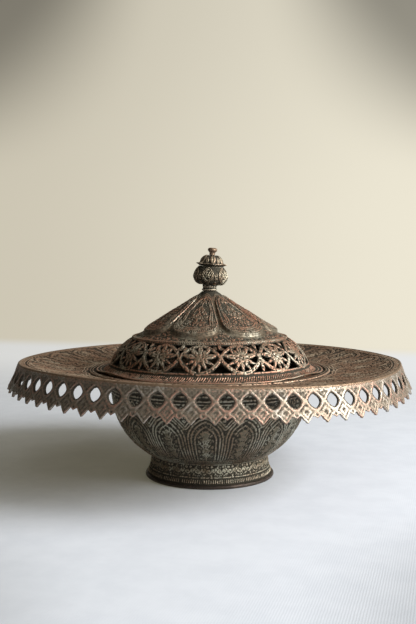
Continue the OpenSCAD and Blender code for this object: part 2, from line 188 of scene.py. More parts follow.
def crest_line(away, half):
    """The height of a raised line with a rounded top, at a distance from its middle."""
    return np.clip(1.5 - 1.5 * (away / half) ** 2, 0, 1)


def blurred(field, reach):
    """A moving average, which tells how crowded the work is round each cell."""
    for axis in (0, 1):
        field = sum(np.roll(field, s, axis) for s in range(-reach, reach + 1)) / (2 * reach + 1)
    return field


class Drawing:
    """Ornament on flat sheet: `work` is how high it stands, and `solid` is below 0 where the sheet is sawn out."""

    def __init__(self, width, height, grain=0.16):
        self.width = width
        self.height = height
        self.grain = grain
        self.columns = round(width / grain)
        self.rows = round(height / grain)
        self.work = np.zeros((self.rows, self.columns))
        self.solid = np.full((self.rows, self.columns), SAWN)

    def window(self, xs, ys, reach):
        """The cells within reach of a box, and their places. Columns run on past the edges, where they meet."""
        rows = np.arange(
            max(math.floor((min(ys) - reach) / self.grain), 0),
            min(math.ceil((max(ys) + reach) / self.grain), self.rows),
        )
        columns = np.arange(
            math.floor((min(xs) - reach) / self.grain), math.ceil((max(xs) + reach) / self.grain)
        )
        x, y = np.meshgrid((columns + 0.5) * self.grain, (rows + 0.5) * self.grain)
        return np.ix_(rows, columns % self.columns), x, y

    def everywhere(self):
        rows, columns = np.arange(self.rows), np.arange(self.columns)
        return np.meshgrid((columns + 0.5) * self.grain, (rows + 0.5) * self.grain)

    def raise_to(self, where, height):
        self.work[where] = np.maximum(self.work[where], height)

    def stroke(self, points, width, height=1.0, metal=0.0):
        """A raised line. metal is the width of sheet left under it where the ground is pierced."""
        half = width / 2
        for (ax, ay), (bx, by) in zip(points, points[1:]):
            where, x, y = self.window((ax, bx), (ay, by), max(half, metal / 2 + CUT_MARGIN))
            dx, dy = bx - ax, by - ay
            share = ((x - ax) * dx + (y - ay) * dy) / max(dx * dx + dy * dy, 1e-9)
            share = np.clip(share, 0, 1)
            away = np.hypot(x - ax - share * dx, y - ay - share * dy)
            self.raise_to(where, height * crest_line(away, half))
            if metal:
                self.solid[where] = np.maximum(self.solid[where], metal / 2 - away)

    def ring(self, y, width, height=1.0):
        self.stroke([(0, y), (self.width, y)], width, height)

    def leaf(self, x, y, angle, length, width, height=1.0, metal=0.0, peak=0.85):
        """A pointed leaf with a groove along its middle, from its base at (x, y). A high peak is near its tip."""
        ux, uy = math.cos(angle), math.sin(angle)
        tip = (x + length * ux, y + length * uy)
        where, px, py = self.window((x, tip[0]), (y, tip[1]), width / 2 + CUT_MARGIN)
        along = ((px - x) * ux + (py - y) * uy) / length
        side = (py - y) * ux - (px - x) * uy
        half = width / 2 * np.sin(np.pi * np.clip(along, 0, 1) ** peak) + 0.02
        body = np.clip(1.6 - 1.6 * (side / half) ** 2, 0, 1)
        groove = 0.5 * np.exp(-((side / LEAF_GROOVE) ** 2))
        inside = (along > 0) & (along < 1)
        self.raise_to(where, np.where(inside, height * body * (1 - groove), 0))
        if metal:
            ends = np.maximum(-along, along - 1) * length
            edge = metal / 2 + half - np.abs(side) - np.maximum(ends, 0)
            self.solid[where] = np.maximum(self.solid[where], np.where(ends < CUT_MARGIN, edge, SAWN))

    def rosette(self, x, y, radius, petals=6, height=1.0):
        where, px, py = self.window((x,), (y,), radius)
        far = np.hypot(px - x, py - y) / radius
        edge = 0.8 + 0.2 * np.cos(petals * np.arctan2(py - y, px - x))
        body = np.clip(2.2 - 2.2 * (far / edge) ** 2, 0, 1)
        ring = 0.6 * np.exp(-(((far - 0.38) / 0.1) ** 2))
        self.raise_to(where, height * body * (1 - ring))

    def bead(self, x, y, radius, height=1.0):
        where, px, py = self.window((x,), (y,), radius)
        far = np.hypot(px - x, py - y) / radius
        self.raise_to(where, height * np.clip(1.4 - 1.4 * far**2, 0, 1))

    def curl(self, x, y, radius, start, turn, width):
        """A tendril that winds in from (x, y). start is its first direction and turn is 1 or -1."""
        points = [(x, y)]
        heading, step = start, radius * CURL_STEP
        for number in range(CURL_STEPS):
            heading += turn * (CURL_TURN + CURL_TIGHTEN * number)
            x, y = x + step * math.cos(heading), y + step * math.sin(heading)
            step *= CURL_SHRINK
            points.append((x, y))
        self.stroke(points, width)

    def bare(self, x, y, radius):
        """Whether the ground is still free of work within a radius."""
        where, px, py = self.window((x,), (y,), radius)
        near = np.hypot(px - x, py - y) < radius
        patch = self.work[where]
        return patch.size > 0 and near.any() and patch[near].max() < 0.35

    def fill(self, inside, chance, spacing=1.7, scale=1.0):
        """Sets leaves where the ground inside a region is still bare, largest first."""
        spots = [
            (x + chance.uniform(-0.5, 0.5), y + chance.uniform(-0.5, 0.5))
            for y in np.arange(0.4, self.height - 0.4, spacing * 0.6)
            for x in np.arange(0, self.width, spacing * 0.6)
        ]
        chance.shuffle(spots)
        for clear, size in FILL_CLEAR_AND_LENGTH:
            for x, y in spots:
                if inside(x, y) and self.bare(x, y, clear * scale):
                    angle = chance.uniform(0, 2 * math.pi)
                    length = size * scale
                    back = length / 2
                    base = (x - back * math.cos(angle), y - back * math.sin(angle))
                    self.leaf(*base, angle, length, length * 0.55 + 0.2, chance.uniform(0.7, 1))

    def age(self, seed, amount, size):
        """Wears the work unevenly with pits and tool marks, each a little over size cells wide."""
        marks = blurred(np.random.default_rng(seed).random(self.work.shape), size)
        marks = (marks - marks.mean()) / marks.std()
        self.work = np.clip(self.work * (1 + amount * marks) + 0.3 * amount * marks, 0, 1)

    def at(self, field, x, y):
        """A field read between its cells."""
        column = np.asarray(x) / self.grain - 0.5
        row = np.clip(np.asarray(y) / self.grain - 0.5, 0, self.rows - 1.001)
        left = np.floor(column).astype(int)
        low = np.floor(row).astype(int)
        tx, ty = column - left, row - low
        left, right = left % self.columns, (left + 1) % self.columns
        below = field[low, left] * (1 - tx) + field[low, right] * tx
        above = field[low + 1, left] * (1 - tx) + field[low + 1, right] * tx
        return below * (1 - ty) + above * ty


# %% [markdown]
# ## Turned skins
#
# Every round piece starts as its section, a few vertices in the XZ plane, spun about the axis. A vertex layer called
# `along` holds how far up the ornament each vertex lies, and spin copies it all the way round, so the drawing can be
# laid on the finished skin. Plain stretches have a negative value there. The Screw modifier turns a section too, but
# the drawing has to be laid on vertices that are already there, so the skin is spun right away.


# %% Spin a section
PLAIN = -1.0
SECTORS = 20


def spun(section, steps, closed=True):
    """A skin from (radius, height, along) points. One sector is spun, then copied all the way round."""
    bm = bmesh.new()
    layer = bm.verts.layers.float.new("along")
    verts = []
    for radius, height, along in section:
        vert = bm.verts.new((radius * MM, 0, height * MM))
        vert[layer] = along
        verts.append(vert)
    pairs = list(zip(verts, verts[1:]))
    if closed:
        pairs.append((verts[-1], verts[0]))
    edges = [bm.edges.new(pair) for pair in pairs]
    sector = 2 * math.pi / SECTORS
    turn = {"cent": (0, 0, 0), "axis": (0, 0, 1)}
    bmesh.ops.spin(bm, geom=verts + edges, angle=sector, steps=steps // SECTORS, **turn)
    skin = bm.verts[:] + bm.edges[:] + bm.faces[:]
    bmesh.ops.spin(bm, geom=skin, angle=2 * math.pi - sector, steps=SECTORS - 1, use_duplicate=True, **turn)
    bmesh.ops.remove_doubles(bm, verts=bm.verts, dist=1e-6)
    bmesh.ops.recalc_face_normals(bm, faces=bm.faces)
    return bm


def plain(path):
    return [(r, z, PLAIN) for r, z in path]


def worked(path, start=0.0):
    """A path whose vertices know how far along the ornament they lie."""
    return [(r, z, start + s) for (r, z), s in zip(path, lengths(path))]


def held(section):
    """A worked path whose two ends stay plain, so that they keep their places."""
    ends = [(*section[0][:2], PLAIN), (*section[-1][:2], PLAIN)]
    return [ends[0], *section[1:-1], ends[1]]


def make_piece(bm, name, body, slot, *nodes):
    """Turns a bmesh into a finished object that rides on a body and stands for its nodes."""
    mesh = bpy.data.meshes.new(name)
    bm.to_mesh(mesh)
    bm.free()
    mesh.shade_smooth()
    piece = bpy.data.objects.new(name, mesh)
    bpy.context.scene.collection.objects.link(piece)
    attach(piece, body)
    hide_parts(*nodes)
    print(name, len(mesh.vertices), "vertices")
    return piece


# %% [markdown]
# ## Laying a drawing on a skin
#
# `lay` presses the drawing into the skin along its normals and keeps two values for the patina at every vertex:
# how high it stands, and how crowded the work round it is. The difference between them tells a crest from a groove.
# A Displace modifier could lift the lines, but it would leave no such values behind for the patina.


# %% Read and write vertices as arrays
def places(mesh):
    flat = np.empty(len(mesh.vertices) * 3)
    mesh.vertices.foreach_get("co", flat)
    return flat.reshape(-1, 3)


def normals(mesh):
    flat = np.empty(len(mesh.vertices) * 3)
    mesh.vertex_normals.foreach_get("vector", flat)
    return flat.reshape(-1, 3)


def along_of(mesh):
    flat = np.empty(len(mesh.vertices))
    mesh.attributes["along"].data.foreach_get("value", flat)
    return flat


def move_to(mesh, place):
    mesh.vertices.foreach_set("co", place.ravel())
    mesh.update()


def azimuths(place):
    """Degrees round the axis from the front, towards +X."""
    return np.degrees(np.arctan2(place[:, 0], -place[:, 1]))


def remember(mesh, work, crowd):
    """Keeps the height of the work and its crowding for the patina."""
    layer = mesh.attributes.new("chasing", "FLOAT_COLOR", "POINT")
    values = np.ones((len(work), 4))
    values[:, 0] = work
    values[:, 1] = crowd
    layer.data.foreach_set("color", values.ravel())


SMOOTH_WORK = 0.62


def lay(piece, drawing, repeats, phase, depth, across=None):
    """Presses a drawing into a skin. across gives other places on the drawing than azimuth and along."""
    mesh = piece.data
    place = places(mesh)
    along = along_of(mesh)
    if across is None:
        x = ((azimuths(place) - phase) * repeats / 360 % 1) * drawing.width
        y = along
    else:
        x, y = across(place)
    crowd_field = blurred(drawing.work, max(round(0.9 / drawing.grain), 1))
    on = along >= 0
    work = np.where(on, drawing.at(drawing.work, x, y), SMOOTH_WORK)
    crowd = np.where(on, drawing.at(crowd_field, x, y), SMOOTH_WORK)
    lift = np.where(on, (work - 0.5) * depth * MM, 0)
    move_to(mesh, place + normals(mesh) * lift[:, None])
    remember(mesh, work, crowd)


def dent(piece, size, scale, seed):
    """Low swells and dents from the hammer, the same on every run."""
    mesh = piece.data
    place = places(mesh)
    waves = np.random.default_rng(seed)
    lift = np.zeros(len(place))
    for _ in range(7):
        direction = waves.normal(size=3)
        direction *= 2 * math.pi / (scale * MM * np.linalg.norm(direction))
        lift += np.sin(place @ direction + waves.uniform(0, 2 * math.pi))
    move_to(mesh, place + normals(mesh) * (lift * size * MM / 7)[:, None])


# %% [markdown]
# ## Bends of a long life
#
# Sheet copper never stays true. The platter's rim stands a little high on one side and low on the other, the skirt
# is uneven, and the lid's brim has sprung up in places. Proportional editing would do it by hand. Here each bend is
# an azimuth, a spread and a lift, so that pieces that touch can share the same bends.

# %% Lift parts of a ring
RIM_SWELLS = ((-45.0, 35.0, 2.1), (42.0, 28.0, -1.9), (85.0, 12.0, 0.8), (170.0, 40.0, 0.6))
HEM_SWELLS = ((-82.0, 16.0, 2.8), (-25.0, 22.0, -1.2), (84.0, 16.0, 2.6))
BRIM_SWELLS = ((-57.0, 15.0, 2.1), (55.0, 13.0, 1.8), (38.0, 3.0, 0.5))


def swelling(place, swells):
    """The lift of each vertex, in metres, from a list of bends."""
    lift = np.zeros(len(place))
    for centre, spread, height in swells:
        turn = (azimuths(place) - centre + 180) % 360 - 180
        lift += height * MM * np.exp(-((turn / spread) ** 2))
    return lift


def bend(piece, swells, near, far, power=1.0):
    """Lifts a piece by its bends, from nothing at the radius near to the full lift at far."""
    mesh = piece.data
    place = places(mesh)
    share = np.clip((np.hypot(place[:, 0], place[:, 1]) / MM - near) / (far - near), 0, 1) ** power
    place[:, 2] += share * swelling(place, swells)
    move_to(mesh, place)


# %% [markdown]
# ## Patina
#
# One node group makes the old surface, and every material places it with its own colours. Dirt fills the ground,
# and its dark colour is painted shade there as well. Tin lies on the flanks in grey patches and turns lighter on
# the crests, partly as a painted glint, and copper shows where the crests are rubbed. Fine noise breaks each border,
# as it does on real metal. Painted textures could show the same, but a group that reads the relief itself stays
# sharp from near. Colours, roughness, metal and height come out of it, and the shader stays in the material.


# %% A short way to write nodes
class Nodes:
    def __init__(self, tree):
        self.tree = tree

    def add(self, kind, inputs=None, **settings):
        node = self.tree.nodes.new(kind)
        for name, value in settings.items():
            setattr(node, name, value)
        for key, value in (inputs or {}).items():
            if isinstance(value, bpy.types.NodeSocket):
                self.tree.links.new(value, node.inputs[key])
            else:
                node.inputs[key].default_value = value
        return node

    def math(self, operation, a, b=0.0, clamp=False):
        return self.add("ShaderNodeMath", {0: a, 1: b}, operation=operation, use_clamp=clamp).outputs[0]

    def mix(self, factor, a, b):
        node = self.add("ShaderNodeMix", {0: factor, 6: a, 7: b}, data_type="RGBA")
        return node.outputs[2]

    def noise(self, coords, scale, detail=4.0, roughness=0.55):
        inputs = {"Vector": coords, "Scale": scale, "Detail": detail, "Roughness": roughness}
        return self.add("ShaderNodeTexNoise", inputs).outputs[0]

    def spread(self, value, low, high, to_low=0.0, to_high=1.0):
        """Maps low to high onto another range, softly and within its ends."""
        inputs = {0: value, 1: low, 2: high, 3: to_low, 4: to_high}
        return self.add("ShaderNodeMapRange", inputs, interpolation_type="SMOOTHSTEP").outputs[0]


def blank_material(name):
    """A material with an empty tree, and the helper that writes its nodes."""
    material = bpy.data.materials.new(name)
    material.use_nodes = True
    material.node_tree.nodes.clear()
    return material, Nodes(material.node_tree)


def rgb(red, green, blue):
    return (red, green, blue, 1.0)


# %% The patina group
def patina_group():
    tree = bpy.data.node_groups.new("patina", "ShaderNodeTree")
    colours = ("Dirt And Shade", "Tin", "Bright Tin And Glint", "Copper")
    for name in colours:
        tree.interface.new_socket(name, in_out="INPUT", socket_type="NodeSocketColor")
    for name in ("Work", "Crowd", "Wear", "Coords"):
        kind = "NodeSocketVector" if name == "Coords" else "NodeSocketFloat"
        tree.interface.new_socket(name, in_out="INPUT", socket_type=kind)
    tree.interface.new_socket("Color", in_out="OUTPUT", socket_type="NodeSocketColor")
    for name in ("Roughness", "Metallic", "Height"):
        tree.interface.new_socket(name, in_out="OUTPUT", socket_type="NodeSocketFloat")
    n = Nodes(tree)
    given = n.add("NodeGroupInput").outputs
    coords = given["Coords"]
    blotches = n.noise(coords, 70.0, 3.0)
    grime = n.noise(coords, 620.0, 5.0, 0.65)
    scuffs = n.noise(coords, 1900.0, 3.0, 0.6)
    height = n.math("ADD", given["Work"], n.spread(grime, 0.25, 0.75, -0.22, 0.22))
    crest = n.math("SUBTRACT", given["Work"], given["Crowd"])
    cover = n.spread(height, 0.18, 0.72)
    # The tin turns lighter on the crests: partly brighter tin, partly a painted glint.
    bright_tin_and_glint = n.math("ADD", crest, n.spread(blotches, 0.3, 0.7, -0.25, 0.3))
    tin = n.mix(n.spread(bright_tin_and_glint, 0.1, 0.5), given["Tin"], given["Bright Tin And Glint"])
    worn = n.math("ADD", crest, n.spread(scuffs, 0.3, 0.7, -0.2, 0.2))
    worn = n.math("ADD", worn, n.spread(blotches, 0.25, 0.75, 0.2, -0.2))
    worn = n.math("MULTIPLY", n.spread(worn, 0.1, 0.42), given["Wear"], clamp=True)
    metal = n.mix(worn, tin, given["Copper"])
    # The low ground takes the dirt colour, which is also painted shade in the recesses of the relief.
    colour = n.mix(cover, given["Dirt And Shade"], metal)
    out = {
        "Color": colour,
        "Roughness": n.math("ADD", n.spread(cover, 0.0, 1.0, 0.8, 0.5), n.spread(scuffs, 0.2, 0.8, -0.06, 0.1)),
        "Metallic": n.spread(cover, 0.0, 1.0, 0.25, 0.8),
        "Height": n.math("ADD", n.math("MULTIPLY", grime, 0.6), n.math("MULTIPLY", scuffs, 0.4)),
    }
    n.add("NodeGroupOutput", out)
    return tree


PATINA = patina_group()
print("patina", len(PATINA.nodes), "nodes")


# %% [markdown]
# ## Copper in its several states
#
# The bowl and foot are greyest, the platter is brown, and the skirt is rubbed and pink with copper where hands
# hold it. Seven separate shaders could be written, but then a change of one would leave the others behind, so one
# function makes them all from their colours. A piece with no ornament gets one even value in place of the attribute.

# %% Make the copper materials
BUMP_DEPTH = 0.0004
# The dark of the ground: soot and dirt, with painted shade in the recesses.
SOOT_AND_SHADE = rgb(0.036, 0.031, 0.020)
WORN_COPPER = rgb(0.40, 0.22, 0.145)


# The dirt colour also paints shade into the ground, and the bright tin colour also paints glints on the crests.
def copper(name, dirt_and_shade, tin, bright_tin_and_glint, worn, wear, bump=0.35, chased=True):
    material, n = blank_material(name)
    coords = n.add("ShaderNodeTexCoord").outputs["Object"]
    inputs = {"Dirt And Shade": dirt_and_shade, "Tin": tin, "Bright Tin And Glint": bright_tin_and_glint, "Copper": worn, "Wear": wear, "Coords": coords}
    if chased:
        chasing = n.add("ShaderNodeAttribute", attribute_name="chasing").outputs["Color"]
        split = n.add("ShaderNodeSeparateColor", {0: chasing})
        inputs.update({"Work": split.outputs[0], "Crowd": split.outputs[1]})
    else:
        inputs.update({"Work": SMOOTH_WORK, "Crowd": SMOOTH_WORK})
    group = n.add("ShaderNodeGroup", inputs, node_tree=PATINA)
    bumped = n.add(
        "ShaderNodeBump", {"Height": group.outputs["Height"], "Strength": bump, "Distance": BUMP_DEPTH}
    ).outputs[0]
    surface = {
        "Base Color": group.outputs["Color"],
        "Roughness": group.outputs["Roughness"],
        "Metallic": group.outputs["Metallic"],
        "Normal": bumped,
    }
    shader = n.add("ShaderNodeBsdfPrincipled", surface)
    n.add("ShaderNodeOutputMaterial", {0: shader.outputs[0]})
    return material


# %% The metals of the burner
bowl_metal = copper(
    "bowl_metal",
    dirt_and_shade=SOOT_AND_SHADE,
    tin=rgb(0.16, 0.145, 0.10),
    bright_tin_and_glint=rgb(0.46, 0.45, 0.36),
    worn=rgb(0.32, 0.19, 0.12),
    wear=0.5,
)
platter_metal = copper(
    "platter_metal",
    dirt_and_shade=rgb(0.036, 0.025, 0.015),
    tin=rgb(0.30, 0.20, 0.135),
    bright_tin_and_glint=rgb(0.54, 0.45, 0.34),
    worn=WORN_COPPER,
    wear=0.6,
)
skirt_metal = copper(
    "skirt_metal",
    dirt_and_shade=rgb(0.06, 0.048, 0.033),
    tin=rgb(0.23, 0.195, 0.15),
    bright_tin_and_glint=rgb(0.40, 0.37, 0.33),
    worn=rgb(0.47, 0.255, 0.195),
    wear=0.85,
)
lid_metal = copper(
    "lid_metal",
    dirt_and_shade=SOOT_AND_SHADE,
    tin=rgb(0.21, 0.17, 0.12),
    bright_tin_and_glint=rgb(0.46, 0.44, 0.36),
    worn=rgb(0.47, 0.225, 0.15),
    wear=0.85,
)
finial_metal = copper(
    "finial_metal",
    dirt_and_shade=SOOT_AND_SHADE,
    tin=rgb(0.19, 0.17, 0.12),
    bright_tin_and_glint=rgb(0.44, 0.43, 0.34),
    worn=WORN_COPPER,
    wear=0.4,
)
wire_metal = copper(
    "wire_metal",
    dirt_and_shade=SOOT_AND_SHADE,
    tin=rgb(0.26, 0.18, 0.12),
    bright_tin_and_glint=rgb(0.36, 0.28, 0.20),
    worn=WORN_COPPER,
    wear=0.5,
    bump=0.2,
    chased=False,
)
pan_metal = copper(
    "pan_metal",
    dirt_and_shade=rgb(0.01, 0.01, 0.01),
    tin=rgb(0.07, 0.055, 0.045),
    bright_tin_and_glint=rgb(0.16, 0.12, 0.1),
    worn=WORN_COPPER,
    wear=0.15,
    bump=0.6,
    chased=False,
)
print("metals", [metal.name for metal in bpy.data.materials if metal.name.endswith("_metal")])


# %% [markdown]
# ## Bowl
#
# The bowl is one raised shell: a flat floor, a round wall and a lip under the platter. Pointed arches in triple
# outline stand round it, each holding a flowering plant, and chevrons join them above. A squashed sphere would come
# near, but only the true section meets both the foot and the lip, so that is spun. Its rows lie about 0.6 millimetres
# apart, close enough to carry lines one millimetre wide.


# %% Draw the bowl's arches
ARCHES = 16
ARCH_PHASE = -13.75
ARCH_PITCH = 23.6
ARCH_FOOT = 9.5
ARCH_SHOULDER = 28.0
PLANT_FOOT = 11.0
PLANT_TOP = 34.0
PLANT_MARGIN = 4.4
ARCH_LINES = ((0.0, 44.0), (1.9, 41.6), (4.2, 38.4))
LIP_RINGS = (51.8, 54.0, 56.6, 59.2)
BOWL_DEPTH = 0.75
bowl_curve_z = bowl_floor_z + BOWL_CURVE_R
NECK_TURN = math.degrees(math.asin((FOOT_NECK_R - BOWL_FLOOR_R) / BOWL_CURVE_R))
LIP_TURN = 90 + math.degrees(math.asin((lip_z - SHEET - bowl_curve_z) / BOWL_CURVE_R))
bowl_rows = 104
bowl_side = arc((BOWL_FLOOR_R, bowl_curve_z), BOWL_CURVE_R, NECK_TURN, LIP_TURN, bowl_rows)
bowl_height = lengths(bowl_side)[-1]


def arch_path(middle, half, foot, shoulder, top, side):
    """One side of a pointed arch, from its foot to its tip."""
    edge = middle + side * half
    return [(edge, foot), *curve((edge, shoulder), (edge, top * 0.9), (middle, top))]


def plant(drawing, middle, foot, top, half, flower):
    """A stem with pairs of curling leaves, and a flower or a bud at its top."""
    drawing.stroke([(middle, foot), (middle, top)], 0.8)
    for level in np.arange(foot + 1.5, top - 3.5, 4.4):
        for side in (-1, 1):
            start = math.pi / 2 - side * 1.25
            drawing.curl(middle, level, half * 0.42, start, side * 0.8, 0.85)
            drawing.leaf(middle + side * 0.5, level + 1.8, math.pi / 2 - side * 0.9, half * 0.62, 1.7)
    if flower:
        drawing.rosette(middle, top - 1.0, half * 0.5, 8)
    else:
        for turn in (-0.7, 0.0, 0.7):
            drawing.leaf(middle, top - 3.5, math.pi / 2 + turn, 4.6, 2.0)


def bowl_drawing():
    pitch = ARCH_PITCH
    width = 2 * pitch
    drawing = Drawing(width, bowl_height)
    chance = np.random.default_rng(11)
    half = 0.46 * pitch
    drawing.ring(1.4, 1.3)
    drawing.ring(8.0, 1.0, 0.9)
    for x in np.arange(0, width, width / 40):
        drawing.stroke([(x, 3.6), (x + 0.9, 6.4)], 0.8, 0.9)
    for number in range(2):
        middle = pitch * (number + 0.5)
        for side in (-1, 1):
            for inset, top in ARCH_LINES:
                outline = arch_path(middle, half - inset, ARCH_FOOT, ARCH_SHOULDER, top, side)
                drawing.stroke(outline, 1.35, 0.85)
            low = [(middle + side * pitch / 2, 36.0), (middle + side * 0.27 * pitch, 42.4), (middle, 48.6)]
            high = [(x, y + 2.3) for x, y in low]
            drawing.stroke(curve(*low), 1.05)
            drawing.stroke(curve(*high), 1.05)
        plant(drawing, middle, PLANT_FOOT, PLANT_TOP, half - PLANT_MARGIN, flower=number == 1)
    for level in LIP_RINGS:
        drawing.ring(level, 1.0, 0.8)

    def field(x, y):
        return 9.6 < y < 50.5

    drawing.fill(field, chance, scale=1.15)
    drawing.work = np.maximum(drawing.work, 0.12)
    drawing.age(seed=12, amount=0.2, size=3)
    return drawing


# %% Spin and chase the bowl
bowl_inner = arc((BOWL_FLOOR_R, bowl_curve_z), BOWL_CURVE_R - SHEET, 102, 8, 14)
mouth_r = BOWL_FLOOR_R + math.sqrt((BOWL_CURVE_R - SHEET) ** 2 - (lip_z - bowl_curve_z) ** 2)
bowl_section = (
    plain([(0, bowl_floor_z), (BOWL_FLOOR_R * 0.6, bowl_floor_z)])
    + plain(arc((BOWL_FLOOR_R, bowl_curve_z), BOWL_CURVE_R, 0, NECK_TURN, 5)[:-1])
    + worked(bowl_side)
    + plain([(lip_r, lip_z - SHEET), (lip_r, lip_z), (mouth_r, lip_z)])
    + plain([p for p in bowl_inner if p[1] < lip_z - 0.5])
    + plain([(BOWL_FLOOR_R * 0.6, bowl_floor_z + SHEET), (0, bowl_floor_z + SHEET)])
)
bowl = make_piece(spun(bowl_section, steps=800, closed=False), "bowl_chased", "vessel", "bowl_copper", "bowl")
lay(bowl, bowl_drawing(), ARCHES // 2, ARCH_PHASE, BOWL_DEPTH)
bowl.data.materials.append(bowl_metal)

# %% [markdown]
# ## Foot
#
# A short ring with hollow sides. A row of upright ticks runs above the hem, then a rounded line, then scrolls with
# leaves along a wave. They could be small pieces set on the ring, but on the real foot they are the sheet itself, so
# they are drawn and raised like the bowl's. The hem is a plain half-round wire in the dark metal of the pan.

# %% Draw, spin and chase the foot
FOOT_REPEATS = 18
FOOT_PHASE = 2.0
FOOT_DEPTH = 0.6
FOOT_STRIP = 14.0
WAVE_LEVEL = 8.6
WAVE_RISE = 1.5
foot_top_z = bowl_floor_z + BOWL_CURVE_R * (1 - math.cos(math.radians(NECK_TURN)))
foot_side = bowed((hem_r, hem_z), (FOOT_NECK_R, foot_top_z + 0.6), -0.58, 36)
foot_height = lengths(foot_side)[-1]


def foot_drawing():
    drawing = Drawing(FOOT_STRIP, foot_height, grain=0.12)
    chance = np.random.default_rng(5)
    for x in np.arange(0.7, FOOT_STRIP, 1.4):
        drawing.stroke([(x, 1.2), (x + 0.15, 3.0)], 0.7, 0.75)
    drawing.ring(4.6, 1.0, 0.6)
    wave = [
        (x, WAVE_LEVEL + WAVE_RISE * math.sin(2 * math.pi * x / 7.0)) for x in np.arange(0, FOOT_STRIP + 0.1, 0.5)
    ]
    drawing.stroke(wave, 0.8)
    for number in range(4):
        side = 1 if number % 2 else -1
        middle = 1.75 + 3.5 * number
        drawing.curl(middle, WAVE_LEVEL - side * WAVE_RISE, 1.5, side * 0.6, side, 0.8)
        drawing.leaf(middle + 1.2, WAVE_LEVEL - side * 0.4, side * 0.9, 2.6, 1.5)
    drawing.fill(lambda x, y: 5.6 < y < 11.6, chance, spacing=1.4)
    drawing.ring(12.3, 0.8, 0.6)
    drawing.age(seed=6, amount=0.25, size=3)
    return drawing


foot_section = (
    worked(foot_side)
    + plain([(FOOT_NECK_R - FOOT_WALL, foot_top_z + 0.6)])
    + plain([(r - FOOT_WALL, z) for r, z in foot_side[-9:0:-9]])
    + plain([(hem_r - FOOT_WALL, 0), (hem_r - 0.1, 0)])
)
foot = make_piece(spun(foot_section, steps=900), "foot_chased", "vessel", "bowl_copper", "foot")
lay(foot, foot_drawing(), FOOT_REPEATS, FOOT_PHASE, FOOT_DEPTH)
foot.data.materials.append(bowl_metal)

hem_section = plain([(hem_r - 0.15, 0), *arc((hem_r, hem_z / 2), hem_z / 2, 0, 180, 12), (hem_r - 0.15, hem_z)])
hem = make_piece(spun(hem_section, steps=360), "hem_wire", "vessel", "bowl_copper", "foot_hem_wire")
hem.data.materials.append(pan_metal)

# %% [markdown]
# ## Platter
#
# A wide dish on the bowl's lip. Rings surround the lid's seat, long pointed panels run out to the border like the
# petals of a flower, and deep slits part their ends. Foliage fills each panel. A flat disc with a grid could carry
# the drawing too, but a spun section follows the dish, so the drawing lies on it without stretching.

# %% Draw the platter's panels
PANELS = 24
PANEL_PITCH = 26.0
PLATTER_PHASE = 3.0
PLATTER_DEPTH = 0.6
SEAT_MARGIN = 1.4
RIDGE_W = 3.2
RIDGE_H = 0.9
BORDER_W = 5.0
DISH_SAG = 1.4
seat_r = brim_r + SEAT_MARGIN
dish_start = (seat_r + RIDGE_W, seat_z)
dish_end = (rim_wire_r - BORDER_W, rim_z)
dish_rows = 74
platter_ridge = bowed((seat_r, seat_z), dish_start, -RIDGE_H, 8)
platter_dish = bowed(dish_start, dish_end, DISH_SAG, dish_rows)
platter_border = bowed(dish_end, (rim_wire_r - 0.9, rim_z), 0, 7)
platter_side = platter_ridge + platter_dish[1:] + platter_border[1:]
platter_height = lengths(platter_side)[-1]
ridge_end = lengths(platter_ridge)[-1]
border_start = ridge_end + lengths(platter_dish)[-1]


def platter_drawing():
    pitch = PANEL_PITCH
    drawing = Drawing(pitch, platter_height)
    chance = np.random.default_rng(23)
    x, y = drawing.everywhere()
    scallop = ridge_end + 1.4 + 1.3 * np.abs(np.sin(math.pi * x / pitch))
    for level in (0.0, 1.9):
        drawing.work = np.maximum(drawing.work, crest_line(y - scallop - level, 0.6))
    drawing.ring(1.0, 0.9)
    drawing.ring(ridge_end - 0.8, 0.9)
    foot, tip = ridge_end + 5.0, border_start - 1.2
    middle = pitch / 2
    widest = foot + 0.62 * (tip - foot)
    for inset in (0.0, 1.8):
        for side in (-1, 1):
            edge = middle + side * (0.44 * pitch - inset)
            inner = curve((middle, foot + inset), (edge, foot + 6.0), (edge, widest))
            outer = curve((edge, widest), (edge, tip - 1.5), (middle, tip - inset * 0.7))
            drawing.stroke(inner + outer[1:], 1.05)
    plant(drawing, middle, foot + 4.0, tip - 6.0, 0.3 * pitch, flower=True)
    drawing.rosette(0, foot + 7.0, 2.4, 6)
    drawing.leaf(0, foot + 10.5, math.pi / 2, 8.0, 2.2)

    def field(x, y):
        # The slits stay bare ground, so the patina paints them dark: dirt and painted shade.
        slit = abs((x + middle) % pitch - middle) < 1.5 and y > widest - 3
        return ridge_end + 3.6 < y < border_start - 1.0 and not slit

    drawing.fill(field, chance)
    drawing.ring(border_start, 1.0)
    drawing.ring(border_start + 1.8, 0.8)
    smooth = (y > border_start + 2.4) * 0.75
    drawing.work = np.maximum(drawing.work, smooth)
    drawing.age(seed=24, amount=0.25, size=4)
    return drawing


# %% Spin and chase the platter
platter_section = (
    plain(bowed((mouth_r, seat_z), (seat_r, seat_z), 0, 4)[:-1])
    + worked(platter_side)
    + plain([(rim_wire_r, rim_z - 0.2), (rim_wire_r, rim_z - SHEET)])
    + plain([(r, z - SHEET) for r, z in platter_dish[::-12]])
    + plain([(seat_r, seat_z - SHEET), (mouth_r, seat_z - SHEET)])
)
platter = make_piece(spun(platter_section, steps=1000), "platter_chased", "vessel", "platter_copper", "platter")
lay(platter, platter_drawing(), PANELS, PLATTER_PHASE, PLATTER_DEPTH)
dent(platter, size=0.3, scale=90.0, seed=3)
bend(platter, RIM_SWELLS, seat_r, rim_wire_r)
platter.data.materials.append(platter_metal)

# %% [markdown]
# ## Rim wire
#
# A round wire covers the edge where platter and skirt meet. A torus would do for a true ring. This one is spun from
# a circle like the other wires, and then takes the same bends as the platter's rim.


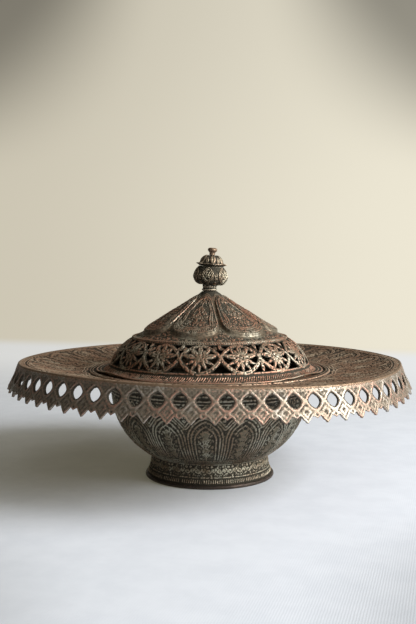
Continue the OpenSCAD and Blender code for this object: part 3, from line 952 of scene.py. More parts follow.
# %% Wires
WIRE_SIDES = 12


def wire(name, radius, height, wire_r, body, slot, node, steps):
    section = plain(arc((radius, height), wire_r, 0, 360 * (WIRE_SIDES - 1) / WIRE_SIDES, WIRE_SIDES - 1))
    return make_piece(spun(section, steps), name, body, slot, node)


rim_wire = wire(
    "rim_wire", rim_wire_r, rim_wire_z, RIM_WIRE_R, "vessel", "wire_copper", "platter_rim_wire", steps=720
)
bend(rim_wire, RIM_SWELLS, seat_r, rim_wire_r)
rim_wire.data.materials.append(wire_metal)

# %% [markdown]
# ## Piercing
#
# To pierce a sheet the craftsman drills each opening and saws along its outline. `pierce` does the same to a dense
# sheet: it splits every mesh edge where the `solid` value changes sign, joins the splits across the faces, and
# takes away the negative side. The outline is then as smooth as the drawing, not as coarse as the grid. A Boolean
# for each of hundreds of openings would be far slower.


# %% Pierce a sheet
LEAST_SOLID = 0.04
CUT_MERGE = 0.09


def pierce(bm, drawing, repeats, phase):
    along = bm.verts.layers.float["along"]
    solid = bm.verts.layers.float.new("solid")
    verts = [v for v in bm.verts if v[along] >= 0]
    place = np.array([v.co[:] for v in verts])
    x = ((azimuths(place) - phase) * repeats / 360 % 1) * drawing.width
    left = drawing.at(drawing.solid, x, np.array([v[along] for v in verts]))
    for vert in bm.verts:
        vert[solid] = 1.0
    for vert, value in zip(verts, left):
        vert[solid] = value if abs(value) > LEAST_SOLID else LEAST_SOLID
    cuts = []
    for edge in [e for e in bm.edges if e.verts[0][solid] * e.verts[1][solid] < 0]:
        start, end = edge.verts
        share = start[solid] / (start[solid] - end[solid])
        cut = bmesh.utils.edge_split(edge, start, share)[1]
        cut[solid] = 0.0
        cuts.append(cut)
    bmesh.ops.connect_verts(bm, verts=cuts)
    gone = [f for f in bm.faces if sum(v[solid] for v in f.verts) < 0]
    bmesh.ops.delete(bm, geom=gone, context="FACES")
    bmesh.ops.remove_doubles(bm, verts=[v for v in cuts if v.is_valid], dist=CUT_MERGE * MM)
    print("sawn out", len(gone), "faces")


def thicken(piece, thickness):
    wall = piece.modifiers.new("wall", "SOLIDIFY")
    wall.thickness = thickness * MM
    wall.offset = -1.0


# %% [markdown]
# ## Skirt
#
# The skirt hangs from the rim. A lattice of crossing lines covers it: an opening sits in each upper lozenge, and
# each lower lozenge is solid, cut with smaller lozenges inside it, and ends in a long point. A short point stands
# below every opening. One modelled cell could be copied round as an array, but a drawing keeps openings, lines and
# points in step, and the sheet stays one piece.

# %% Draw, pierce and chase the skirt
SKIRT_CELLS = 65
SKIRT_PHASE = -1.6
SKIRT_DEPTH = 0.5
SKIRT_STEPS_PER_CELL = 24
SKIRT_TOP_SHARE = 0.4
OPENING_DROP = 6.9
skirt_top = (rim_wire_r + 2 * RIM_WIRE_R * SKIRT_TOP_SHARE, rim_wire_z)
skirt_side = bowed((skirt_r, skirt_low_z), skirt_top, 0, 38)
skirt_height = lengths(skirt_side)[-1]
opening_level = skirt_height - OPENING_DROP
skirt_pitch = 2 * math.pi * skirt_r / SKIRT_CELLS


def skirt_drawing():
    drawing = Drawing(skirt_pitch, skirt_height, grain=0.12)
    x, y = drawing.everywhere()
    aside = np.abs((x + skirt_pitch / 2) % skirt_pitch - skirt_pitch / 2)
    beside = skirt_pitch / 2 - aside
    opening = ((aside / 3.9) ** 1.5 + (np.abs(y - opening_level) / 3.8) ** 1.5 - 1) * 2.5
    valley = skirt_pitch * 0.2
    low = np.where(aside < valley, 2.5 + aside * 1.7 / valley, beside * 4.2 / (skirt_pitch / 2 - valley))
    edge = (y - low - 0.1) * 0.72
    drawing.solid = np.minimum(opening, edge)
    lozenge = beside / 6.0 + np.abs(y - opening_level / 2) / (opening_level / 2)
    lattice = aside / (skirt_pitch / 2) + np.abs(y - opening_level) / (OPENING_DROP - 0.6)
    lines = [
        crest_line(opening - 1.3, 0.8),
        crest_line((lozenge - 0.95) * 4.2, 0.8) * (y < opening_level + 0.6),
        crest_line((lozenge - 0.42) * 4.2, 0.9) * 0.8,
        crest_line((lattice - 1.0) * 4.2, 0.8),
        crest_line(edge - 0.5, 0.6),
        (y > skirt_height - 1.6) * 0.72,
    ]
    drawing.work = np.clip(np.max(lines, axis=0), 0.42, 1)
    # Each opening sits in a low dish, which the patina paints dark: dirt and painted shade round the opening.
    dish = (opening < 0.8) * (0.15 + 0.2 * np.clip(opening, 0, 0.8))
    drawing.work = np.where(opening < 0.8, dish, drawing.work)
    drawing.age(seed=40, amount=0.13, size=3)
    return drawing


skirt_pattern = skirt_drawing()
skirt_bm = spun(worked(skirt_side), SKIRT_CELLS * SKIRT_STEPS_PER_CELL, closed=False)
pierce(skirt_bm, skirt_pattern, SKIRT_CELLS, SKIRT_PHASE)
skirt = make_piece(skirt_bm, "skirt_pierced", "vessel", "skirt_copper", "skirt")
lay(skirt, skirt_pattern, SKIRT_CELLS, SKIRT_PHASE, SKIRT_DEPTH)


def bend_hem(piece):
    """Draws the points of the skirt up where they are short, and down where they are long."""
    mesh = piece.data
    place = places(mesh)
    share = np.clip(1 - along_of(mesh) / opening_level, 0, 1)
    place[:, 2] += share * swelling(place, HEM_SWELLS)
    move_to(mesh, place)


bend_hem(skirt)
bend(skirt, RIM_SWELLS, seat_r, rim_wire_r)
thicken(skirt, SKIRT_SHEET)
skirt.data.materials.append(skirt_metal)

# %% [markdown]
# ## Lid: brim
#
# The lid rests on its brim, a flat flange with a bright edge. Long use has sprung the brim up in two places, where
# a dark gap shows under it. It is spun flat and true first, and bent afterwards, as it was on the real lid.

# %% Draw and spin the brim
FLARE_W = 5.4
FLARE_H = 3.2
FLARE_SAG = 0.81
FLARE_TUCK = 0.6
BAND_OVERHANG = 3.3
BAND_BOW = 0.9
SHOULDER_W = 6.7
SHOULDER_H = 4.6
SHOULDER_BOW = 0.28
BEZEL_CLEARANCE = 0.6
BEZEL_T = 1.0
BRIM_POWER = 1.5
band_base = (mouth_r + BAND_OVERHANG, brim_z + FLARE_H)
shoulder = (seam_r + SHOULDER_W, seam_z - SHOULDER_H)
band_top = (seam_r, seam_z)


def brim_drawing(height):
    drawing = Drawing(8.0, height, grain=0.1)
    drawing.ring(0.2, 1.2)
    drawing.ring(2.6, 0.8, 0.8)
    return drawing


brim_top = bowed((brim_r - 0.25, brim_z - 0.1), (brim_r - 4.2, brim_z), 0, 12)
brim_section = (
    plain([(mouth_r - BEZEL_CLEARANCE - BEZEL_T, brim_low_z), (brim_r - 0.2, brim_low_z)])
    + plain([(brim_r, brim_low_z + 0.25), (brim_r, brim_z - 0.35)])
    + worked(brim_top)
    + plain([(mouth_r - BEZEL_CLEARANCE - BEZEL_T, brim_z)])
)
brim = make_piece(spun(brim_section, steps=360), "brim", "lid", "lid_copper", "lid_brim")
lay(brim, brim_drawing(lengths(brim_top)[-1]), repeats=50, phase=0.0, depth=0.3)
bend(brim, BRIM_SWELLS, band_base[0], brim_r, BRIM_POWER)
brim.data.materials.append(lid_metal)

# %% [markdown]
# ## Lid: pierced gallery
#
# Slanting ticks are chased into the flare above the brim. Above them fifteen lens-shaped panels stand round the
# lid. Two lines wave up and down and cross between the panels, and a fan of leaves fills each lens. What is left
# between lines and leaves is sawn out. Here the drawing says where the metal stays: every stroke keeps a strip of
# sheet under it. Leaves and lines could be modelled as bars, but the real ones are one sheet, bent both ways, and a
# drawing bends with it. Three panels are drawn, with small differences, and repeated five times.

# %% Draw the gallery
LENSES = 15
LENSES_DRAWN = 3
LENS_PHASE = 6.2
LENS_W = 25.1
TICKS_DRAWN = 56
GALLERY_DEPTH = 0.5
LENS_STEPS = 96
DISC_R = 4.1
flare_path = bowed((band_base[0] + FLARE_W, brim_z - FLARE_TUCK), band_base, -FLARE_SAG, 14)
band_path = bowed(band_base, shoulder, BAND_BOW, 36) + bowed(shoulder, band_top, SHOULDER_BOW, 20)[1:]
flare_height = lengths(flare_path)[-1]
band_height = lengths(band_path)[-1]
FAN_UP = [math.radians(turn) for turn in (12, 51, 90, 129, 168)]
FAN_DOWN = [math.radians(turn) for turn in (-28, -60, -90, -120, -152)]


class Lens:
    """One panel: its middle, the level where its lines cross, and how far they swing up and down."""

    def __init__(self, middle, level, swing):
        self.middle, self.level, self.swing = middle, level, swing

    def swing_at(self, x):
        share = abs(x - self.middle) / (LENS_W / 2)
        return self.swing * math.cos(math.pi / 2 * min(share, 1)) ** 0.75

    def line(self, side):
        xs = np.linspace(self.middle - LENS_W / 2, self.middle + LENS_W / 2, 25)
        return [(x, self.level + side * self.swing_at(x)) for x in xs]

    def reach(self, turn):
        """Length of a leaf from the fan's root to the lens's outline."""
        for length in np.arange(1, 14, 0.2):
            x, y = self.middle + length * math.cos(turn), self.level + length * math.sin(turn)
            if abs(y - self.level) > self.swing_at(x) or abs(x - self.middle) > LENS_W / 2 - 1.5:
                return length
        return 12.0


def draw_lens(drawing, lens):
    for side in (-1, 1):
        line = lens.line(side)
        drawing.stroke(line, 2.2, 0.7, metal=2.7)
        for shift in (-0.75, 0.75):
            drawing.stroke([(x, y + shift) for x, y in line], 0.7)
    for turn in FAN_UP:
        drawing.leaf(lens.middle, lens.level, turn, lens.reach(turn) + 0.4, 3.5, metal=0.35, peak=1.1)
    for turn in FAN_DOWN:
        drawing.leaf(lens.middle, lens.level, turn, lens.reach(turn) + 0.5, 2.3, metal=0.6, peak=0.55)
    drawing.rosette(lens.middle, lens.level, 3.5, 8)
    where, x, y = drawing.window((lens.middle,), (lens.level,), 4.6)
    disc = DISC_R - np.hypot(x - lens.middle, y - lens.level)
    drawing.solid[where] = np.maximum(drawing.solid[where], disc)


def gallery_drawing():
    drawing = Drawing(LENSES_DRAWN * LENS_W, flare_height + band_height, grain=0.12)
    foot, top = flare_height + 0.9, flare_height + band_height - 0.9
    level = flare_height + band_height * 0.47
    for number in range(TICKS_DRAWN):
        x = number * drawing.width / TICKS_DRAWN
        drawing.stroke([(x, 0.6), (x + 1.9, flare_height - 1.4)], 0.75)
    for number in range(LENSES_DRAWN):
        left = number * LENS_W
        draw_lens(drawing, Lens(left + LENS_W / 2, level, band_height * 0.43))
        drawing.bead(left, level, 1.1)
        if number == 1:
            drawing.leaf(left, foot, math.pi / 2, level - foot, 2.0, metal=0.4)
        drawing.leaf(left, top, -math.pi / 2, 5.0, 2.6, metal=0.4)
    x, y = drawing.everywhere()
    drawing.solid = np.max([drawing.solid, foot + 0.6 - y, y - top + 0.5], axis=0)
    for ring in (0.2, flare_height + 0.7, flare_height + band_height - 0.6):
        drawing.ring(ring, 0.8)
    drawing.age(seed=50, amount=0.36, size=4)
    return drawing


# %% Pierce and chase the gallery
gallery_pattern = gallery_drawing()
gallery_bm = spun(worked(flare_path + band_path[1:]), LENSES * LENS_STEPS, closed=False)
pierce(gallery_bm, gallery_pattern, LENSES // LENSES_DRAWN, LENS_PHASE)
gallery = make_piece(gallery_bm, "gallery_pierced", "lid", "lid_copper", "lid_gallery")
lay(gallery, gallery_pattern, LENSES // LENSES_DRAWN, LENS_PHASE, GALLERY_DEPTH)
bend(gallery, BRIM_SWELLS, band_base[0], brim_r, BRIM_POWER)
thicken(gallery, SHEET)
gallery.data.materials.append(lid_metal)

# %% [markdown]
# ## Lid: crown
#
# Seven petals are raised from behind. Each runs from the neck between two ribs and ends in a wide curve with
# rounded corners. Double outlines with a row of ticks between them follow its end, foliage fills it, and a smooth
# strip lies outside it. The petals could be sculpted, but the signed distance to their outline gives one smooth edge
# to the raised form and to the lines that follow it. The drawing is seen from above, so that the ends stay round.

# %% Draw the crown
PETALS = 7
PETAL_PHASE = -14.9
PETAL_MARGIN = 6.0
PETAL_END_R = 18.0
PETAL_CORNER_R = 5.0
PETAL_GAP = 2.2
PETAL_RISE = 2.0
CROWN_HOLLOW = 1.5
crown_path = bowed(band_top, (neck_r, neck_z), -CROWN_HOLLOW, 110)
petal_middle = seam_r - PETAL_MARGIN - PETAL_END_R
HALF_SECTOR = math.radians(180 / PETALS)
CROWN_HALF = 24.0
CROWN_DEPTH = 0.55
PETAL_LEVELS = (13.0, 19.0, 25.5)
FADE_LENGTH = 22.5


def petal_edge(x, y):
    """Signed distance to a petal's outline, negative inside. y runs out from the axis."""
    side = np.abs(x) * math.cos(HALF_SECTOR) - y * math.sin(HALF_SECTOR) + PETAL_GAP / 2 + PETAL_CORNER_R
    end = np.hypot(x, y - petal_middle) - PETAL_END_R + PETAL_CORNER_R
    both = np.hypot(np.maximum(side, 0), np.maximum(end, 0))
    return both + np.minimum(np.maximum(side, end), 0) - PETAL_CORNER_R


def crown_drawing():
    drawing = Drawing(2 * CROWN_HALF, seam_r + 2.0, grain=0.14)
    chance = np.random.default_rng(31)
    x, y = drawing.everywhere()
    x = x - CROWN_HALF
    edge = petal_edge(x, y)
    far = np.hypot(x, y)
    narrow = 1 - 0.5 * np.clip((petal_middle + 5 - y) / 8, 0, 1)
    lines = [crest_line(edge / narrow + inset, 0.6) for inset in (0.7, 3.7, 5.1)]
    drawing.work = np.max(lines, axis=0)
    ticks = 0.5 + 0.5 * np.sin(2 * math.pi * np.arctan2(x, y - petal_middle) * PETAL_END_R / 1.4)
    drawing.work = np.maximum(drawing.work, ticks * crest_line(edge / narrow + 2.3, 1.0) * (narrow > 0.9))
    for level in PETAL_LEVELS:
        for side in (-1, 1):
            size = level * 0.11
            drawing.curl(CROWN_HALF, level, size, math.pi / 2 - side * 1.0, side * 0.8, 0.9)
            drawing.leaf(CROWN_HALF + side * 0.5, level + 1.5, math.pi / 2 - side * 0.8, size * 1.8, 1.8)
    drawing.stroke([(CROWN_HALF, 10), (CROWN_HALF, 32)], 0.8)
    drawing.rosette(CROWN_HALF, 34.0, 2.8, 8)

    def field(px, py):
        px = px - CROWN_HALF
        near = petal_edge(px, py)
        away = math.hypot(px, py)
        if away < 9:
            return False
        return near < -5.8 or (near > 2.8 and away < seam_r - 2.0)

    drawing.fill(field, chance, spacing=1.5, scale=1.25)
    drawing.work = np.maximum(drawing.work, 0.14 * (edge < 0))
    drawing.age(seed=32, amount=0.3, size=3)
    strip = np.clip(1.2 - ((edge - 1.2) / 1.2) ** 2, 0, 0.5) * (edge > 0)
    drawing.work = np.maximum(drawing.work, strip)
    drawing.work = np.maximum(drawing.work, crest_line(far - seam_r + 1.3, 0.6))
    return drawing


# %% Spin, raise and chase the crown
def on_petals(place):
    """Where a vertex lies on the crown's drawing: one sector, seen from above."""
    far = np.hypot(place[:, 0], place[:, 1]) / MM
    turn = np.radians(azimuths(place) - PETAL_PHASE)
    turn = (turn + HALF_SECTOR) % (2 * HALF_SECTOR) - HALF_SECTOR
    return far * np.sin(turn) + CROWN_HALF, far * np.cos(turn)


def raise_petals(piece):
    mesh = piece.data
    place = places(mesh)
    x, y = on_petals(place)
    rise = np.clip(0.5 - petal_edge(x - CROWN_HALF, y) / 1.2, 0, 1)
    rise = rise * rise * (3 - 2 * rise) * np.clip((np.hypot(x - CROWN_HALF, y) - neck_r) / FADE_LENGTH + 0.1, 0, 1)
    lift = np.where(along_of(mesh) >= 0, rise * PETAL_RISE * MM, 0)
    move_to(mesh, place + normals(mesh) * lift[:, None])


crown_inner = [(r - 0.4, z - SHEET) for r, z in crown_path[::-14]]
crown_section = worked(crown_path) + plain([(1.5, neck_z), (1.5, neck_z - SHEET)]) + plain(crown_inner)
crown = make_piece(spun(crown_section, PETALS * 100), "crown_chased", "lid", "lid_copper", "lid_crown")
raise_petals(crown)
lay(crown, crown_drawing(), PETALS, PETAL_PHASE, CROWN_DEPTH, across=on_petals)
crown.data.materials.append(lid_metal)


# %% [markdown]
# ## Seam wire
#
# A thin twisted wire hides the seam between gallery and crown. The twist is a wave that travels round the wire's
# own section as it goes round the lid. Two thin wires could really be twisted together, but at under two millimetres
# one wire with a wave on it looks the same and needs fewer faces.


# %% Twisted wire
def twist(piece, radius, height, turns, depth):
    mesh = piece.data
    place = places(mesh)
    far = np.hypot(place[:, 0], place[:, 1]) - radius * MM
    round_wire = np.arctan2(place[:, 2] - height * MM, far)
    phase = 2 * round_wire + np.radians(azimuths(place)) * turns
    work = 0.5 + 0.5 * np.sin(phase)
    move_to(mesh, place + normals(mesh) * ((work - 0.6) * depth * MM)[:, None])
    remember(mesh, 0.25 + 0.7 * work, np.full(len(work), 0.6))


seam_wire = wire(
    "seam_wire", seam_r, seam_z, seam_wire_r, "lid", "wire_copper", "lid_seam_wire", steps=1280
)
twist(seam_wire, seam_r, seam_z, turns=226, depth=0.3)
seam_wire.data.materials.append(lid_metal)

# %% [markdown]
# ## Finial
#
# Four turned pieces are threaded on a rod: a collar, a bud cut with medallions, a cap of leaves with turned-out
# tips, and a small button. The rod is bent, so all of them lean to the right. One turned shape would do from afar,
# but the dark joints between the pieces show, so each piece has its own section.

# %% Collar and bud
BUD_FOOT_SHARE = 0.98
WAIST_SHARE = 0.86
BUD_TOP_SHARE = 0.73
MEDALLIONS = 6
FINIAL_PHASE = 6.0
BUD_PHASE = -40.0
LEAN = math.radians(4.5)
collar_h = bud_z - neck_z
bud_h = cap_z - bud_z
bead_h = collar_h * 0.45
waist_r = neck_r * WAIST_SHARE
bud_foot_r = neck_r * BUD_FOOT_SHARE
bud_top_r = bud_r * BUD_TOP_SHARE


def lean(piece):
    """Leans a piece of the finial to the right, as the bent rod holds it."""
    mesh = piece.data
    place = places(mesh)
    pivot = (neck_z + collar_h / 2) * MM
    up = place[:, 2] - pivot
    angle = LEAN * np.clip((place[:, 2] / MM - neck_z) / collar_h, 0, 1)
    across = place[:, 0].copy()
    place[:, 0] = across * np.cos(angle) + up * np.sin(angle)
    place[:, 2] = pivot + up * np.cos(angle) - across * np.sin(angle)
    move_to(mesh, place)


collar_side = (
    bowed((waist_r, neck_z), (waist_r, neck_z + bead_h), 0.5, 8)
    + bowed((waist_r, neck_z + bead_h), (bud_foot_r, bud_z), -0.2, 8)[1:]
)
collar_section = plain([(0, neck_z)]) + held(worked(collar_side)) + plain([(0, bud_z)])
collar = make_piece(
    spun(collar_section, steps=160, closed=False), "collar_turned", "lid", "finial_copper", "finial_collar"
)


def collar_drawing():
    drawing = Drawing(8.0, lengths(collar_side)[-1], grain=0.1)
    drawing.ring(1.0, 1.4)
    for x in (0.0, 4.0):
        drawing.leaf(x, 2.1, math.pi / 2, 2.4, 2.6)
        drawing.leaf(x + 2.0, 2.1, math.pi / 2, 1.9, 1.6)
    return drawing


lay(collar, collar_drawing(), repeats=4, phase=0.0, depth=0.4)
lean(collar)
collar.data.materials.append(finial_metal)

bud_widest = bud_z + bud_h * 0.44
bud_side = (
    bowed((bud_foot_r, bud_z + 0.1), (bud_r - 0.3, bud_widest), 1.9, 26)
    + bowed((bud_r - 0.3, bud_widest), (bud_top_r, cap_z), 0.35, 22)[1:]
)
bud_height = lengths(bud_side)[-1]


def bud_drawing():
    width = 2 * math.pi * bud_r / MEDALLIONS
    drawing = Drawing(width, bud_height, grain=0.1)
    middle, low, high = width / 2, bud_height * 0.3, bud_height * 0.95
    for side in (-1, 1):
        for inset in (0.0, 1.3):
            reach = middle + side * (width * 0.66 - inset * 1.4)
            drawing.stroke(curve((middle, low + inset), (reach, (low + high) / 2), (middle, high - inset)), 0.9)
    drawing.rosette(middle, (low + high) / 2, 2.5, 6)
    for turn in (0.9, math.pi - 0.9, -0.9, -math.pi + 0.9):
        x, y = middle + 1.7 * math.cos(turn), (low + high) / 2 + 1.7 * math.sin(turn)
        drawing.leaf(x, y, turn, 2.0, 1.1)
    drawing.leaf(0, low + 1.5, math.pi / 2, 6.0, 2.4)
    drawing.leaf(0, 1.5, math.pi / 2, 4.4, 3.0)
    drawing.leaf(middle, 0.6, math.pi / 2, 3.6, 3.0)
    drawing.work = np.maximum(drawing.work, 0.2)
    drawing.age(seed=8, amount=0.2, size=4)
    return drawing


bud_section = plain([(0, bud_z)]) + held(worked(bud_side)) + plain([(0, cap_z + 0.1)])
bud = make_piece(spun(bud_section, steps=360, closed=False), "bud_chased", "lid", "finial_copper", "finial_bud")
lay(bud, bud_drawing(), MEDALLIONS, BUD_PHASE, depth=0.8)
lean(bud)
bud.data.materials.append(finial_metal)

# %% Cap, button and rod
LEAVES = 6
LEAF_REACH = 2.1
STEM_R = 2.046
ROD_R = 1.3
ROD_REACH = 0.55
cap_h = button_z - cap_z
lip_h = cap_h * 0.3
cap_side = (
    bowed((bud_top_r * 0.95, cap_z - 0.1), (bud_top_r * 1.05, cap_z + lip_h * 0.75), 0.2, 6)
    + bowed((bud_top_r * 1.05, cap_z + lip_h * 0.75), (bud_top_r * 0.86, cap_z + lip_h), 0.3, 4)[1:]
    + bowed((bud_top_r * 0.9, cap_z + lip_h), (STEM_R, button_z), cap_h * 0.2, 18)[1:]
)


def cap_drawing():
    height = lengths(cap_side)[-1]
    drawing = Drawing(9.6, height, grain=0.1)
    for x in (0.0, 4.8):
        drawing.leaf(x, 3.2, math.pi / 2, height - 4.0, 3.2)
    for x in (2.4, 7.2):
        drawing.leaf(x, 3.4, math.pi / 2, 5.0, 1.6)
    drawing.ring(2.1, 1.0)
    return drawing


def turn_out_leaves(piece):
    """Pulls the cap's lip out into leaf tips."""
    mesh = piece.data
    place = places(mesh)
    level = (place[:, 2] / MM - cap_z) / lip_h
    lobe = np.clip(np.cos(np.radians(azimuths(place) - FINIAL_PHASE) * LEAVES), 0, 1) ** 1.5
    pull = lobe * np.exp(-(((level - 0.72) / 0.42) ** 2)) * LEAF_REACH * MM
    away = place[:, :2] / np.maximum(np.hypot(place[:, 0], place[:, 1]), 1e-6)[:, None]
    on = along_of(mesh) >= 0
    place[:, :2] += away * np.where(on, pull, 0)[:, None]
    move_to(mesh, place)


cap_section = plain([(0, cap_z - 0.1)]) + worked(cap_side) + plain([(0, button_z)])
cap = make_piece(spun(cap_section, steps=240, closed=False), "cap_leaves", "lid", "finial_copper", "finial_cap")
lay(cap, cap_drawing(), LEAVES // 2, FINIAL_PHASE, depth=0.6)
turn_out_leaves(cap)
lean(cap)
cap.data.materials.append(finial_metal)

button_h = button_top_z - button_z
button_r = reach_of("finial_button")
stem_h = button_h * 0.36
button_side = [
    *bowed((STEM_R, button_z), (STEM_R, button_z + stem_h), -0.2, 4),
    *bowed((button_r * 0.9, button_z + button_h * 0.5), (button_r * 0.84, button_top_z - 0.3), 0.4, 6),
    (button_r * 0.6, button_top_z),
    (0, button_top_z - 0.1),
]
button_bm = spun(plain([(0, button_z - 0.2), *button_side]), 100, closed=False)
button = make_piece(button_bm, "button_turned", "lid", "finial_copper", "finial_button")
lean(button)
button.data.materials.append(wire_metal)

rod_foot_z = low_of("finial_rod")
rod_top_z = button_z + button_h * ROD_REACH
rod_side = [(0, rod_foot_z), (ROD_R * 1.9, rod_foot_z), (ROD_R * 1.9, rod_foot_z + BEZEL_T)]
rod_side += bowed((ROD_R, rod_foot_z + BEZEL_T), (ROD_R, rod_top_z), 0, 24) + [(0, rod_top_z)]
rod = make_piece(spun(plain(rod_side), 40, closed=False), "rod_bent", "lid", "finial_copper", "finial_rod")
lean(rod)
rod.data.materials.append(wire_metal)

# %% [markdown]
# ## Pieces that stay as they are
#
# The rivets, the collar inside the lid, the washer and the fire pan have the right shape already. Modelling them
# again would add nothing, so they only get their metal: worn copper for fittings, sooted copper for the pan.

# %% Dress the plain nodes
PLAIN_NODES = {
    "mouth_rivets": wire_metal,
    "lid_bezel": wire_metal,
    "finial_washer": wire_metal,
    "fire_pan": pan_metal,
    "pan_edge_wire": pan_metal,
    "pan_feet": pan_metal,
}
for node, metal in PLAIN_NODES.items():
    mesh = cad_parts[node].data
    mesh.materials.clear()
    mesh.materials.append(metal)
    print(node, metal.name)

# %% [markdown]
# ## Table, wall and light
#
# A pale linen table and a cream wall, with one large window to the right and a weak warm room all round. What the
# camera and the reflections see of the wall is painted colour, with painted light towards the window and painted
# shade higher up, so that it lights nothing. A lit wall is more like a real room, but its shade would change with
# every change of the window.


# %% Stage
def backdrop(name, colour_of, size, place, turn):
    bm = bmesh.new()
    bmesh.ops.create_grid(bm, x_segments=1, y_segments=1, size=size)
    mesh = bpy.data.meshes.new(name)
    bm.to_mesh(mesh)
    bm.free()
    screen = bpy.data.objects.new(name, mesh)
    screen.location = place
    screen.rotation_euler = turn
    bpy.context.scene.collection.objects.link(screen)
    mesh.materials.append(colour_of())
    print(name, size * 2, "metres wide")


TABLE_TURN = math.radians(-15.8)
TABLE_EDGE = 0.859
TABLE_HALF = 6.0
TABLE_BACK = TABLE_EDGE - TABLE_HALF
TABLE_PLACE = (-math.sin(TABLE_TURN) * TABLE_BACK, math.cos(TABLE_TURN) * TABLE_BACK, 0)
WALL_NEAR = 1.6
WALL_HALF = 3.0
THREAD_SCALE = 260.0
# Where the far table turns into a painted glow.
FAR_GLOW_START, FAR_GLOW_END = 0.7, 0.25
EDGE_BLEND = 0.16
# A painted glow, seen only by the camera and the reflections, that lifts the table's shadows.
SOFT_GLOW = rgb(0.078, 0.072, 0.048)


def camera_only(n, colour):
    """A plain glow for the camera and the reflections, which lights nothing."""
    seen = n.add("ShaderNodeLightPath")
    shown = n.math("MAXIMUM", seen.outputs["Is Camera Ray"], seen.outputs["Is Glossy Ray"])
    shown = n.math("MAXIMUM", shown, seen.outputs["Is Transmission Ray"])
    return n.add("ShaderNodeEmission", {"Color": colour, "Strength": shown}).outputs[0]


def wall_colour(n, across):
    """The wall just above the table, with painted light to the right and a painted dark reflection at the far left.
    """
    # Painted light: the wall grows lighter towards the window on the right.
    seen = n.mix(n.spread(across, -0.6, 0.6), rgb(0.61, 0.565, 0.455), rgb(0.85, 0.80, 0.66))
    direct = n.add("ShaderNodeLightPath").outputs["Is Camera Ray"]
    # Glossy rays see the far left dark: a painted reflection that shades the metal's left side.
    return n.mix(n.math("MAXIMUM", n.spread(across, -1.5, -0.6), direct), rgb(0.05, 0.045, 0.035), seen)


def linen():
    """Pale cloth with painted shade in its near corners. Far away it is a painted glow that melts into the wall."""
    material, n = blank_material("linen")
    coords = n.add("ShaderNodeTexCoord").outputs["Object"]
    split = n.add("ShaderNodeSeparateXYZ", {0: coords})
    threads = {"Vector": coords, "Scale": THREAD_SCALE, "Distortion": 1.5, "Detail": 2.0}
    weave = [n.add("ShaderNodeTexWave", threads, bands_direction=way).outputs["Fac"] for way in ("X", "Y")]
    cloth = n.math("ADD", weave[0], weave[1])
    slubs = n.noise(coords, 45.0, 6.0, 0.6)
    colour = n.mix(n.spread(slubs, 0.3, 0.7), rgb(0.65, 0.71, 0.83), rgb(0.70, 0.76, 0.88))
    room = n.add("ShaderNodeMapping", {"Vector": coords, "Location": TABLE_PLACE, "Rotation": (0, 0, TABLE_TURN)})
    place = n.add("ShaderNodeSeparateXYZ", {0: room.outputs[0]})
    aside = n.math("ABSOLUTE", n.math("ADD", place.outputs[0], 0.01))
    # Painted shade: the table's near corners are darkened.
    corner = n.math("MULTIPLY", aside, n.math("SUBTRACT", -0.02, place.outputs[1]))
    close = n.math("MULTIPLY", n.spread(place.outputs[1], -0.6, -0.45), n.spread(aside, 0.15, 0.35, 1.0, 0.0))
    shade = n.math("MULTIPLY", close, n.spread(corner, 0.006, 0.024, 0.0, 0.4))
    colour = n.mix(shade, colour, rgb(0, 0, 0))
    bumped = n.add("ShaderNodeBump", {"Height": cloth, "Strength": 0.12, "Distance": 0.0003}).outputs[0]
    lit = n.add("ShaderNodeBsdfPrincipled", {"Base Color": colour, "Roughness": 0.9, "Normal": bumped}).outputs[0]
    # Far away the table is a painted glow, lighter to the right towards the window, that fades into the wall.
    far_glow = n.mix(
        n.spread(split.outputs[1], TABLE_HALF - EDGE_BLEND, TABLE_HALF),
        n.mix(n.spread(place.outputs[0], -0.4, 0.3), rgb(0.68, 0.68, 0.66), rgb(0.80, 0.81, 0.81)),
        wall_colour(n, n.math("MULTIPLY", place.outputs[0], 1.4)),
    )
    far = n.spread(split.outputs[1], TABLE_HALF - FAR_GLOW_START, TABLE_HALF - FAR_GLOW_END)
    # The soft glow is painted light over the lit table and its shadows.
    soft = n.add("ShaderNodeAddShader", {0: lit, 1: camera_only(n, SOFT_GLOW)}).outputs[0]
    both = n.add("ShaderNodeMixShader", {0: far, 1: soft, 2: camera_only(n, far_glow)})
    n.add("ShaderNodeOutputMaterial", {0: both.outputs[0]})
    return material


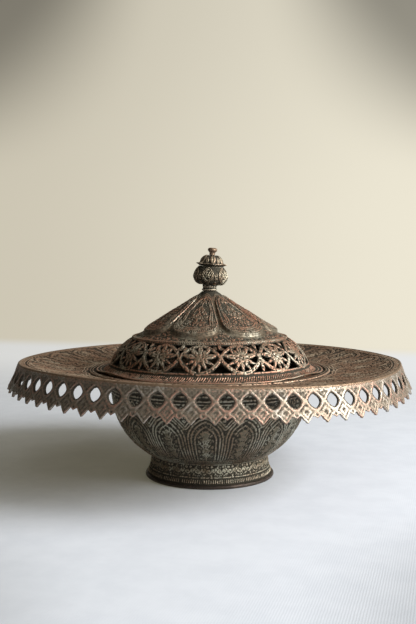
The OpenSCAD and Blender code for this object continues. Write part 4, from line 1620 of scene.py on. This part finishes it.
def plaster():
    """A wall that only the camera and the reflections see, with painted shade higher up and in its upper corners."""
    material, n = blank_material("plaster")
    coords = n.add("ShaderNodeTexCoord").outputs["Object"]
    split = n.add("ShaderNodeSeparateXYZ", {0: coords})
    aside = n.math("ABSOLUTE", split.outputs[0])
    corner = n.math("MULTIPLY", aside, n.math("ADD", split.outputs[1], 1.28))
    # Painted shade: darker in the upper corners and a little darker higher up.
    dark = n.math("ADD", n.spread(corner, 0.06, 0.25, 0.0, 0.55), n.spread(split.outputs[1], -1.3, -0.6, 0.0, 0.12))
    shade = n.mix(dark, wall_colour(n, split.outputs[0]), rgb(0, 0, 0))
    n.add("ShaderNodeOutputMaterial", {0: camera_only(n, shade)})
    return material


backdrop("table", linen, TABLE_HALF, TABLE_PLACE, (0, 0, TABLE_TURN))
backdrop("wall", plaster, WALL_HALF, (0, WALL_NEAR, WALL_HALF / 2), (math.pi / 2, 0, 0))

# %% Light
WINDOW_PLACE = Vector((1.2, -0.5, 0.74))
WINDOW_AIM = Vector((0, 0, 0.05))
window_data = bpy.data.lights.new("window", "AREA")
window_data.shape = "RECTANGLE"
window_data.size = 0.9
window_data.size_y = 0.7
window_data.energy = 36.0
window_data.color = (1.0, 0.985, 0.955)
window = bpy.data.objects.new("window", window_data)
window.location = WINDOW_PLACE
window.rotation_euler = (WINDOW_PLACE - WINDOW_AIM).to_track_quat("Z", "Y").to_euler()
bpy.context.scene.collection.objects.link(window)

world = bpy.data.worlds.new("room")
world.use_nodes = True
world.node_tree.nodes.clear()
n = Nodes(world.node_tree)
facing = n.add("ShaderNodeSeparateXYZ", {0: n.add("ShaderNodeTexCoord").outputs["Generated"]}).outputs[0]
sky = n.mix(n.spread(facing, -0.7, 0.9), rgb(0.10, 0.09, 0.07), rgb(0.60, 0.55, 0.46))
room = n.add("ShaderNodeBackground", {"Color": sky, "Strength": 1.0})
n.add("ShaderNodeOutputWorld", {0: room.outputs[0]})
bpy.context.scene.world = world
print("window", window_data.energy, "watts, from", [round(v, 2) for v in WINDOW_PLACE])
